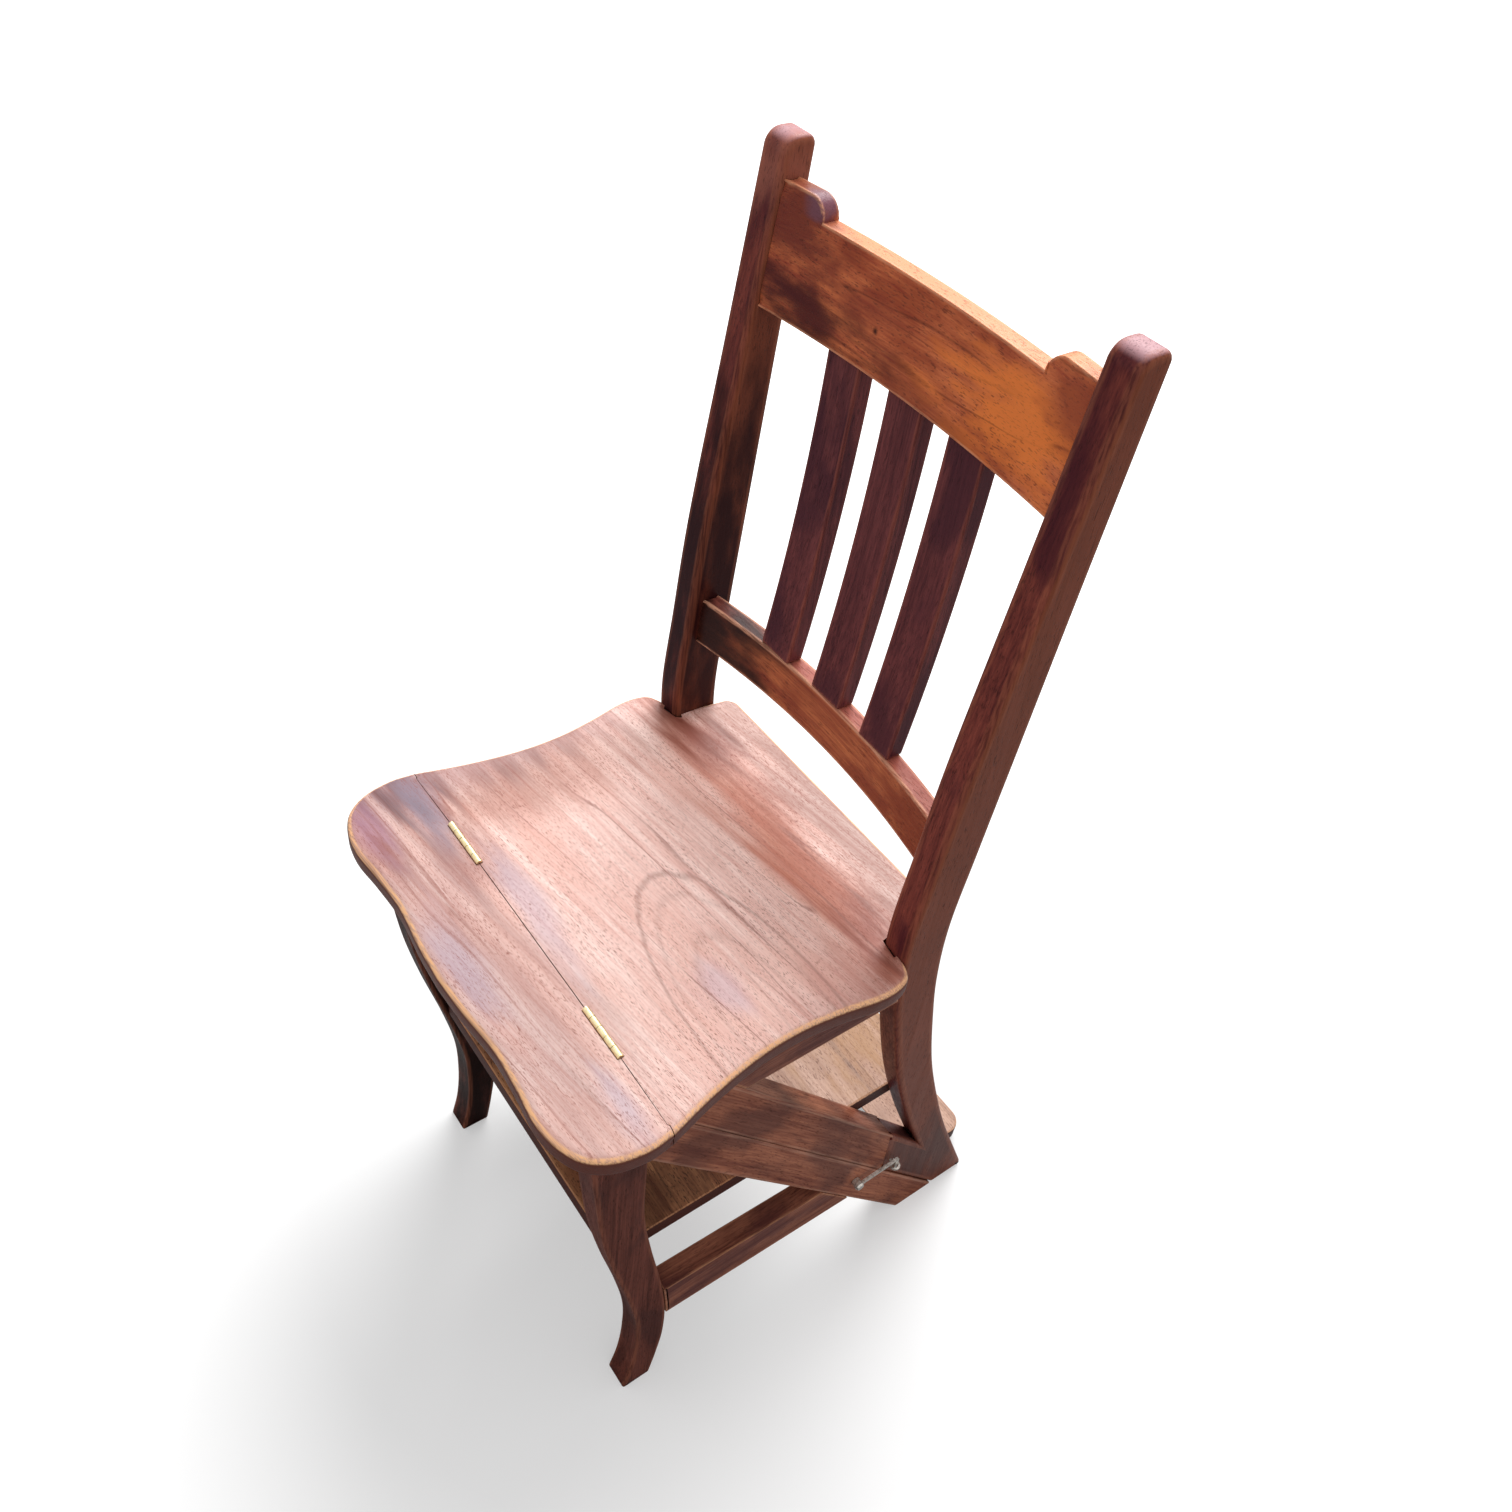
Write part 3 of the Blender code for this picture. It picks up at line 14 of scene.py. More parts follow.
import bmesh
import bpy
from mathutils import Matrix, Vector

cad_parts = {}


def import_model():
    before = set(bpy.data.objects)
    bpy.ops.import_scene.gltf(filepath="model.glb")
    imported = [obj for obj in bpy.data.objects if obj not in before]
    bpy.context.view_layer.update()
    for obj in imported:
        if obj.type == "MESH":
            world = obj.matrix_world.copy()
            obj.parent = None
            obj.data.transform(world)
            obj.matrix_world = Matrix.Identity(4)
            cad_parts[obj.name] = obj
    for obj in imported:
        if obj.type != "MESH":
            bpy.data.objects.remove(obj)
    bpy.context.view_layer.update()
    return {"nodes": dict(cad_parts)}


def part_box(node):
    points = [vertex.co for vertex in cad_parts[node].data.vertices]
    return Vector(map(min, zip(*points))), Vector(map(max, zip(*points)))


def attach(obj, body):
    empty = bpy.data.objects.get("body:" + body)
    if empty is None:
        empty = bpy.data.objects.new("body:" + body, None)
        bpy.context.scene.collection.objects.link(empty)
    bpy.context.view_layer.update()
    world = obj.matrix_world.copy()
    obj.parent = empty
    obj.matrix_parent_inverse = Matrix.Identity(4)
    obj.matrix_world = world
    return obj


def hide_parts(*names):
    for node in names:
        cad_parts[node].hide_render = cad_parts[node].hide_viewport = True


Point = tuple[float, float]
Place = tuple[float, float, float]
Line = list[Point]
Piece = bpy.types.Object
Socket = bpy.types.NodeSocket

MM = 0.001
LOG = logging.getLogger("step_chair")
FRONT = "front_frame"
REAR = "rear_frame"
SIDES = {"left": 1, "right": -1}
SPLIT_ANGLE = 128.55
WHITE = (1.0, 1.0, 1.0, 1.0)
ARRIS_ANGLE = 35.0
SHADING_ANGLE = 40.0

# Places that lie closer together than this, in millimetres, count as one
NEAR = 0.15


class Grain(Enum):
    """The way a board's grain runs, as the turn that brings it to X, in degrees."""
    ACROSS = (0.0, 0.0, 0.0)
    ASLANT = (0.0, 0.0, -7.0)
    UPRIGHT = (0.0, 90.0, 0.0)
    FORE_AND_AFT = (0.0, 0.0, -90.0)
    SLANTING = (-SPLIT_ANGLE, 0.0, -90.0)


class Flat(Enum):
    """The plane that a board's outline is drawn in."""
    SIDE = "outline in y and z, thickness along x"
    TOP = "outline in x and y, thickness along z"


# Lines


def smooth_line(points: list[tuple[float, ...]], steps: int = 12) -> list[tuple[float, ...]]:
    """A curve through points.

    Args:
        points: The points that it passes.
        steps: How many pieces it has from each point to the next.

    Returns:
        The points of the curve.
    """
    first = tuple(2 * a - b for a, b in zip(points[0], points[1]))
    last = tuple(2 * a - b for a, b in zip(points[-1], points[-2]))
    run = [first, *points, last]
    line = []
    for p0, p1, p2, p3 in zip(run, run[1:], run[2:], run[3:]):
        for step in range(steps):
            t = step / steps
            line.append(tuple(
                (2 * b + (c - a) * t + (2 * a - 5 * b + 4 * c - d) * t ** 2
                 + (3 * b - a - 3 * c + d) * t ** 3) / 2
                for a, b, c, d in zip(p0, p1, p2, p3)))
    return line + [tuple(points[-1])]


def thinned(line: Line, least: float) -> Line:
    """A line without the points that crowd together.

    Args:
        line: The line.
        least: How far each point has to lie from the last one kept and from the end.

    Returns:
        The points that stay, both ends among them.
    """
    kept = [line[0]]
    for point in line[1:-1]:
        if math.dist(point, kept[-1]) >= least and math.dist(point, line[-1]) >= least:
            kept.append(point)
    return [*kept, line[-1]]


def arc(centre: Point, radius: float, start: float, end: float, steps: int) -> Line:
    """Points on a circle.

    Args:
        centre: The circle's middle.
        radius: Its radius.
        start: The first angle, in degrees.
        end: The last angle.
        steps: How many pieces lie between them.

    Returns:
        The points in order.
    """
    angles = [math.radians(start + (end - start) * i / steps) for i in range(steps + 1)]
    return [(centre[0] + radius * math.cos(a), centre[1] + radius * math.sin(a)) for a in angles]


def at_height(line: Line, height: float) -> float:
    """Finds where a (y, z) line passes a height.

    Args:
        line: The line.
        height: The height.

    Returns:
        The y there, or that of the nearest end.
    """
    for (y0, z0), (y1, z1) in zip(line, line[1:]):
        if min(z0, z1) <= height <= max(z0, z1) and z0 != z1:
            return y0 + (y1 - y0) * (height - z0) / (z1 - z0)
    return min(line, key=lambda point: abs(point[1] - height))[0]


def between_heights(line: Line, low: float, high: float) -> Line:
    """The stretch of a (y, z) line between two heights.

    Args:
        line: The line.
        low: The lower height.
        high: The upper height.

    Returns:
        The stretch, from the bottom up.
    """
    inside = sorted((p for p in line if low < p[1] < high), key=lambda point: point[1])
    return [(at_height(line, low), low), *inside, (at_height(line, high), high)]


def shifted(line: Line, distance: float) -> Line:
    """A (y, z) line moved along y."""
    return [(y + distance, z) for y, z in line]


def both_sides(half: Line) -> Line:
    """A half outline of (x, y) points made whole about x = 0."""
    return [(-x, y) for x, y in reversed(half) if x > 0] + list(half)


# The chair's common sizes, in millimetres


@dataclass(frozen=True)
class ChairSizes:
    """Sizes that several sub-assemblies share, as the joinery of the frame has them."""
    seat_height: float = 450.0
    seat_thickness: float = 20.0
    split_top: float = 438.0
    split_reach: float = 349.0
    split_gap: float = 0.6
    side_inner: float = 133.0
    side_outer: float = 157.0
    upper_rail_depth: float = 37.0
    lower_rail_depth: float = 35.5
    seat_rail_depth: float = 28.0
    shoulder: float = 262.0
    back_height: float = 900.0
    fit: float = 0.3
    leg_depth: float = 45.0
    leg_sweep: float = 43.5
    leg_head_gap: float = 1.0
    stile_reach: float = 390.0
    stile_depth: float = 40.0
    leg_shares: tuple = (
        (1.00, 0.00, 1.00), (0.86, 0.08, 0.89), (0.70, 0.195, 0.77), (0.56, 0.43, 0.72),
        (0.40, 0.765, 0.655), (0.27, 0.97, 0.60), (0.16, 0.995, 0.585), (0.07, 0.91, 0.555),
        (0.00, 0.775, 0.59),
    )
    stile_shares: tuple = (
        (0.00, 1.000, 0.85), (0.07, 0.927, 0.85), (0.14, 0.856, 0.85), (0.22, 0.785, 0.90),
        (0.30, 0.723, 0.925), (0.38, 0.677, 0.9625), (0.45, 0.645, 0.9875), (0.52, 0.632, 1.00),
        (0.60, 0.643, 0.98), (0.70, 0.659, 0.95), (0.85, 0.683, 0.76), (1.00, 0.709, 0.60),
    )

    @property
    def underside(self) -> float:
        """The height of the seat's underside."""
        return self.seat_height - self.seat_thickness

    @property
    def split_length(self) -> float:
        """The length of the slanting split."""
        return math.hypot(self.split_top, self.split_reach)

    def split_y(self, height: float, offset: float = 0.0) -> float:
        """The y of the split at a height, or of a line beside it at a square distance."""
        beside = offset * self.split_length / self.split_top
        return self.split_reach * (1 - height / self.split_top) + beside

    def split_z(self, y: float, offset: float = 0.0) -> float:
        """The height of the split at a y, or of a line beside it at a square distance."""
        beside = offset * self.split_length / self.split_reach
        return self.split_top * (1 - y / self.split_reach) + beside

    def leg_edges(self) -> tuple[Line, Line]:
        """Draws a front leg.

        Returns:
            Its front and its rear edge, from the top down.
        """
        front, rear = [], []
        for height, place, depth in self.leg_shares:
            middle = place * self.leg_sweep - self.leg_head_gap - self.leg_depth / 2
            z = height * (self.underside - self.fit)
            front.append((middle - depth * self.leg_depth / 2, z))
            rear.append((middle + depth * self.leg_depth / 2, z))
        return smooth_line(front), smooth_line(rear)

    def stile_edges(self) -> tuple[Line, Line]:
        """Draws a stile.

        Returns:
            Its front and its rear edge, from the floor up.
        """
        front, rear = [], []
        for height, place, depth in self.stile_shares:
            z = height * self.back_height
            rear.append((place * self.stile_reach, z))
            front.append((place * self.stile_reach - depth * self.stile_depth, z))
        return smooth_line(front), smooth_line(rear)


SIZES = ChairSizes()
LEG_FRONT, LEG_REAR = SIZES.leg_edges()
STILE_FRONT, STILE_REAR = SIZES.stile_edges()


# Bench: how a board is cut, eased and put on the frame


class Bench:
    """Cuts boards with the modelling operators and moves them to the frame's coordinates."""

    def __init__(self) -> None:
        """Takes the hinge line's y from the frame's hinge pin."""
        low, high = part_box("hinge_pin_left")
        self.hinge_y = (low[1] + high[1]) / 2

    def to_frame(self, x: float, y: float, z: float) -> Vector:
        """A place in chair millimetres as a place in the frame's metres."""
        return Vector((x * MM, y * MM + self.hinge_y, z * MM))

    def ends(self, edge: bmesh.types.BMEdge) -> list[Place]:
        """Both ends of a mesh edge in chair millimetres."""
        return [(v.co.x / MM, (v.co.y - self.hinge_y) / MM, v.co.z / MM) for v in edge.verts]

    def board(self, name: str, outline: Line, flat: Flat, low: float, high: float) -> Piece:
        """Saws a board: a disc gets one corner for each of the outline's and is pushed to its thickness.

        Args:
            name: The piece's name.
            outline: Its outline, in millimetres.
            flat: The plane of the outline.
            low: Where its thickness starts.
            high: Where its thickness ends.

        Returns:
            The board.
        """
        bpy.ops.mesh.primitive_circle_add(vertices=len(outline), fill_type="NGON")
        piece = named(name)
        for vertex, (a, b) in zip(piece.data.vertices, outline):
            place = (low, a, b) if flat is Flat.SIDE else (a, b, low)
            vertex.co = self.to_frame(*place)
        thick = (high - low) * MM
        travel = (thick, 0.0, 0.0) if flat is Flat.SIDE else (0.0, 0.0, thick)
        with editing(piece):
            bpy.ops.mesh.select_all(action="SELECT")
            bpy.ops.mesh.extrude_region_move(TRANSFORM_OT_translate={"value": travel})
            close_up()
        return piece

    def bowed_board(self, name: str, stations: list[Place], rows: int,
                    face: Callable[[float, float], float], thickness: Callable[[float], float]) -> Piece:
        """Bends a rail: a grid is laid on its curved front face and pushed back to its thickness.

        Args:
            name: The piece's name.
            stations: The x, bottom and top of each column, in millimetres.
            rows: How many rows of faces the grid has.
            face: The y of the front face at an x and a height.
            thickness: The rail's thickness at a height.

        Returns:
            The rail.
        """
        bpy.ops.mesh.primitive_grid_add(x_subdivisions=len(stations) - 1, y_subdivisions=rows)
        piece = named(name)
        places = [(x, low + (high - low) * row / rows)
                  for row in range(rows + 1) for x, low, high in stations]
        for vertex, (x, z) in zip(piece.data.vertices, places):
            vertex.co = self.to_frame(x, face(x, z), z)
        with editing(piece):
            bpy.ops.mesh.select_all(action="SELECT")
            bpy.ops.mesh.extrude_region_move(TRANSFORM_OT_translate={"value": (0.0, MM, 0.0)})
            mesh = bmesh.from_edit_mesh(piece.data)
            for vertex in mesh.verts:
                if vertex.select:
                    x, z = vertex.co.x / MM, vertex.co.z / MM
                    vertex.co = self.to_frame(x, face(x, z) + thickness(z), z)
            bmesh.update_edit_mesh(piece.data)
            close_up()
        return piece

    def split_plane(self, piece: Piece, gap: float, drop_front: bool) -> None:
        """Cuts a tread along the slanting split and closes the cut.

        Args:
            piece: The tread.
            gap: The square distance from the split.
            drop_front: Whether the part in front of the cut goes.
        """
        normal = Vector((0.0, SIZES.split_top, SIZES.split_reach)).normalized()
        with editing(piece):
            bpy.ops.mesh.select_all(action="SELECT")
            bpy.ops.mesh.bisect(
                plane_co=self.to_frame(0.0, SIZES.split_y(0.0, gap), 0.0), plane_no=normal,
                use_fill=True, clear_inner=drop_front, clear_outer=not drop_front)
            close_up()


def named(name: str) -> Piece:
    """Names the object that was added last, and its data."""
    bpy.context.object.name = bpy.context.object.data.name = name
    return bpy.context.object


def pick(piece: Piece) -> None:
    """Selects one piece alone and makes it the active one.

    Args:
        piece: The piece.
    """
    bpy.ops.object.select_all(action="DESELECT")
    piece.select_set(True)
    bpy.context.view_layer.objects.active = piece


@contextmanager
def editing(piece: Piece) -> Iterator[None]:
    """Puts one piece in edit mode for a while.

    Args:
        piece: The piece.
    """
    pick(piece)
    bpy.ops.object.mode_set(mode="EDIT")
    bpy.ops.mesh.select_mode(type="VERT")
    try:
        yield
    finally:
        bpy.ops.object.mode_set(mode="OBJECT")


def close_up() -> None:
    """Turns the faces of the piece in edit mode outwards."""
    bpy.ops.mesh.select_all(action="SELECT")
    bpy.ops.mesh.normals_make_consistent(inside=False)


def apply_modifier(piece: Piece, kind: str, **settings: object) -> None:
    """Adds a modifier with its settings and applies it.

    Args:
        piece: The piece.
        kind: The modifier's kind.
        settings: Its properties.
    """
    pick(piece)
    modifier = piece.modifiers.new(kind.lower(), kind)
    for key, value in settings.items():
        setattr(modifier, key, value)
    bpy.ops.object.modifier_apply(modifier=modifier.name)


def is_arris(edge: bmesh.types.BMEdge) -> bool:
    """Whether two faces meet outwards at the edge, at more than the arris angle."""
    return edge.is_convex and edge.calc_face_angle(0.0) > math.radians(ARRIS_ANGLE)


def ease(piece: Piece, radius: float, segments: int, margin: float,
         keep: Callable[[bmesh.types.BMEdge], bool] = is_arris) -> None:
    """Rounds a piece's arrises and marks them as worn, with a line of corners beside them to fade to.

    Args:
        piece: The piece.
        radius: The round's radius, in millimetres.
        segments: How many faces the round has.
        margin: How far the wear fades into the faces beside it, or 0 for no mark.
        keep: Tells which edges are rounded.
    """
    with editing(piece):
        bpy.ops.mesh.select_mode(type="EDGE")
        bpy.ops.mesh.select_all(action="DESELECT")
        mesh = bmesh.from_edit_mesh(piece.data)
        for edge in mesh.edges:
            edge.select_set(keep(edge))
        ways = [face.normal.copy() for face in mesh.faces]
        bmesh.update_edit_mesh(piece.data)
        bpy.ops.mesh.bevel(offset=radius * MM, segments=segments, affect="EDGES", clamp_overlap=True)
        if margin:
            fade_wear(piece, ways, margin)


def fade_wear(piece: Piece, ways: list[Vector], margin: float) -> None:
    """Marks the new rounds of the piece in edit mode as worn, and insets its other faces.

    Args:
        piece: The piece, with the new rounds selected.
        ways: The ways that its faces looked before they were rounded.
        margin: How far the wear fades, in millimetres.
    """
    same = 0.9998
    mesh = bmesh.from_edit_mesh(piece.data)
    wear = mesh.verts.layers.float.get("wear") or mesh.verts.layers.float.new("wear")
    rounds = [face for face in mesh.faces
              if face.select and all(face.normal.dot(way) < same for way in ways)]
    for face in rounds:
        for vertex in face.verts:
            vertex[wear] = 1.0
    marked = {face.index for face in rounds}
    bpy.ops.mesh.select_mode(type="FACE")
    bpy.ops.mesh.select_all(action="DESELECT")
    mesh = bmesh.from_edit_mesh(piece.data)
    mesh.faces.ensure_lookup_table()
    for face in mesh.faces:
        face.select_set(face.index not in marked)
    bmesh.update_edit_mesh(piece.data)
    bpy.ops.mesh.inset(thickness=margin * MM, use_even_offset=False, use_boundary=True)
    mesh = bmesh.from_edit_mesh(piece.data)
    wear = mesh.verts.layers.float["wear"]
    for face in mesh.faces:
        for vertex in face.verts if face.select else ():
            vertex[wear] = 0.0
    bmesh.update_edit_mesh(piece.data)


def polish(piece: Piece) -> None:
    """Shades a piece smooth up to the shading angle, its flat faces staying flat.

    Args:
        piece: The piece.
    """
    pick(piece)
    bpy.ops.object.shade_smooth_by_angle(angle=math.radians(SHADING_ANGLE))
    apply_modifier(piece, "WEIGHTED_NORMAL", keep_sharp=True)


# Finishes


def linear(hex_colour: str) -> tuple[float, float, float, float]:
    """Turns a colour as the screen has it into one as light has it.

    Args:
        hex_colour: The sRGB colour in hex.

    Returns:
        Linear red, green and blue, and an alpha of 1.
    """
    channels = [int(hex_colour[i:i + 2], 16) / 255 for i in (0, 2, 4)]
    red, green, blue = (c / 12.92 if c <= 0.04045 else ((c + 0.055) / 1.055) ** 2.4 for c in channels)
    return red, green, blue, 1.0


class NodeSheet:
    """The nodes that are laid out in a material or a world."""

    def __init__(self, owner: bpy.types.Material | bpy.types.World) -> None:
        """Starts with the owner's nodes cleared away.

        Args:
            owner: The material or the world.
        """
        owner.use_nodes = True
        self.tree = owner.node_tree
        self.tree.nodes.clear()

    def add(self, kind: str, inputs: dict | None = None, stops: list | None = None,
            **settings: object) -> bpy.types.Node:
        """Adds a node with its settings and links.

        Args:
            kind: The node's kind, without its ShaderNode in front.
            inputs: A socket to link, or a value to set, by input name or number.
            stops: The places and hex colours of a colour ramp, its two ends first.
            settings: The node's properties.

        Returns:
            The node.
        """
        node = self.tree.nodes.new(f"ShaderNode{kind}")
        for key, value in settings.items():
            setattr(node, key, value)
        for place, _ in (stops or [])[2:]:
            node.color_ramp.elements.new(place)
        for element, (place, colour) in zip(node.color_ramp.elements if stops else (), stops or []):
            element.position = place
            element.color = linear(colour)
        for key, value in (inputs or {}).items():
            if isinstance(value, Socket):
                self.tree.links.new(value, node.inputs[key])
            else:
                node.inputs[key].default_value = value
        return node

    def math(self, operation: str, *values: Socket | float) -> Socket:
        """Reckons with numbers."""
        return self.add("Math", dict(enumerate(values)), operation=operation).outputs[0]

    def vector(self, operation: str, *values: object, output: int = 0) -> Socket:
        """Reckons with vectors."""
        return self.add("VectorMath", dict(enumerate(values)), operation=operation).outputs[output]

    def ranged(self, value: Socket, source: Point, target: Point = (0.0, 1.0)) -> Socket:
        """Carries a value smoothly from one range to another."""
        return self.add("MapRange", dict(enumerate((value, *source, *target))),
                        interpolation_type="SMOOTHSTEP").outputs[0]

    def over(self, amount: Socket, under: object, colour: str, blend: str = "MIX") -> Socket:
        """Lays one colour over another by an amount."""
        return self.add("Mix", {0: amount, 6: under, 7: linear(colour)}, data_type="RGBA",
                        blend_type=blend).outputs[2]

    def noise(self, vector: Socket, spot: Point, detail: float, output: int | str = 0) -> Socket:
        """Lays out noise.

        Args:
            vector: Where the noise is read.
            spot: The length and the width of its spots, in millimetres.
            detail: How many finer layers it has.
            output: The output that is wanted.

        Returns:
            The output.
        """
        length, width = spot
        scale = (1 / (length * MM), 1 / (width * MM), 1 / (width * MM))
        spots = self.add("Mapping", {"Vector": vector, "Scale": scale}).outputs[0]
        return self.add("TexNoise", {"Vector": spots, "Scale": 1.0, "Detail": detail}).outputs[output]


@dataclass(frozen=True)
class ShadeAndStain:
    """A laid-on area of colour: its middle and half sizes in chair millimetres. Some stand for stain in the
    polish, others are painted shade or painted light.

    A clear one darkens what lies under it and lets the figure show.
    """
    middle: Place
    reach: Place
    colour: str
    strength: float = 1.0
    clear: bool = False


@dataclass(frozen=True)
class LightAndShadeFacing:
    """A colour painted on the faces that look one way, read from the part of the normal along an axis:
    painted light or painted shade, by how light falls on those faces.
    """
    axis: int
    start: float
    full: float
    colour: str
    strength: float = 1.0
    either: bool = False

    @property
    def hides_pores(self) -> bool:
        """Whether it lies over the pores too, as the painted shade on a top board's edges does."""
        return self.axis == 2 and self.start > self.full


@dataclass(frozen=True)
class Flame:
    """Flame figure, where the saw cut through the growth cones: drawn-out rings round a middle."""
    middle: Place
    stretch: float
    rings: tuple
    colour: str
    waver: float = 5.0


@dataclass(frozen=True)
class Figure:
    """What all mahogany here has in common.

    Spots are lengths and widths in millimetres, edges are the values of a noise between which
    something fades in.
    """
    drift_spot: Point = (260.0, 60.0)
    drift: float = 14.0
    hair_share: Point = (1 / 3, 1 / 6)
    cloud_edge: Point = (0.46, 0.62)
    vein_spot: Point = (620.0, 34.0)
    vein_edge: Point = (0.012, 0.002)
    vein_part_edge: Point = (0.4, 0.55)
    vein_least: float = 0.2
    pore_edge: Point = (0.56, 0.7)
    pore_part_edge: Point = (0.38, 0.6)
    pore_least: float = 0.45
    shade_and_stain_edge: Point = (1.05, 0.15)
    wear_edge: Point = (0.15, 1.0)
    wear_part_edge: Point = (0.35, 0.6)
    wear_least: float = 0.35
    rim_tilts: tuple = ((0.3, 0.6), (0.96, 0.82))
    streak_edge: Point = (0.3, 0.7)
    rough_spread: float = 0.06
    rough_pores: float = 0.12
    relief_strength: float = 0.35
    relief: float = 0.25
    refraction: float = 1.5
    coat_roughness: float = 0.2


FIGURE = Figure()


@dataclass(frozen=True)
class Mahogany:
    """Sawn and planed mahogany, coloured with stain and wax polished.

    The eye sees soft streaks along the grain, short dark pores, clouded stain and rubbed arrises; some
    faces and areas carry painted light and painted shade.
    """
    name: str
    dark: str
    body: str
    light: str
    rubbed: str
    pore: str
    cloud: str
    slot: str = "frame_wood"
    grain: Grain = Grain.ACROSS
    streak_width: float = 9.0
    streak_length: float = 240.0
    pore_width: float = 0.8
    pore_length: float = 7.0
    pore_amount: float = 0.5
    cloud_size: float = 40.0
    cloud_amount: float = 0.7
    mottle_spot: Point = (42.0, 15.0)
    ragged: float = 2.4
    spread: float = 0.22
    roughness: float = 0.42
    shine: float = 0.08
    coat: float = 0.0
    vein_amount: float = 0.0
    rim: bool = False
    light_and_shade_facings: tuple[LightAndShadeFacing, ...] = ()
    shades_and_stains: tuple[ShadeAndStain, ...] = ()
    flames: tuple[Flame, ...] = ()
    rub: float = 0.8

    def build(self, bench: Bench) -> bpy.types.Material:
        """Lays out the nodes.

        Args:
            bench: The bench, which knows where chair coordinates lie in the frame.

        Returns:
            The material.
        """
        sheet = WoodSheet(self, bench)
        colour = sheet.add("ValToRGB", {0: sheet.mixed}, stops=[
            (0.5 - self.spread, self.dark), (0.5 + self.spread, self.light), (0.5, self.body)]).outputs[0]
        for amount, laid, blend in sheet.layers():
            colour = sheet.over(amount, colour, laid, blend)
        streaked = sheet.ranged(sheet.mixed, FIGURE.streak_edge, (
            self.roughness + FIGURE.rough_spread, self.roughness - FIGURE.rough_spread))
        rough = sheet.math("MULTIPLY_ADD", sheet.pores, FIGURE.rough_pores, streaked)
        shader = sheet.add("BsdfPrincipled", {
            "Base Color": colour, "Roughness": rough, "Normal": sheet.relief(),
            "IOR": FIGURE.refraction, "Specular IOR Level": self.shine,
            "Coat Weight": self.coat, "Coat Roughness": FIGURE.coat_roughness})
        sheet.add("OutputMaterial", {"Surface": shader.outputs[0]})
        return sheet.material


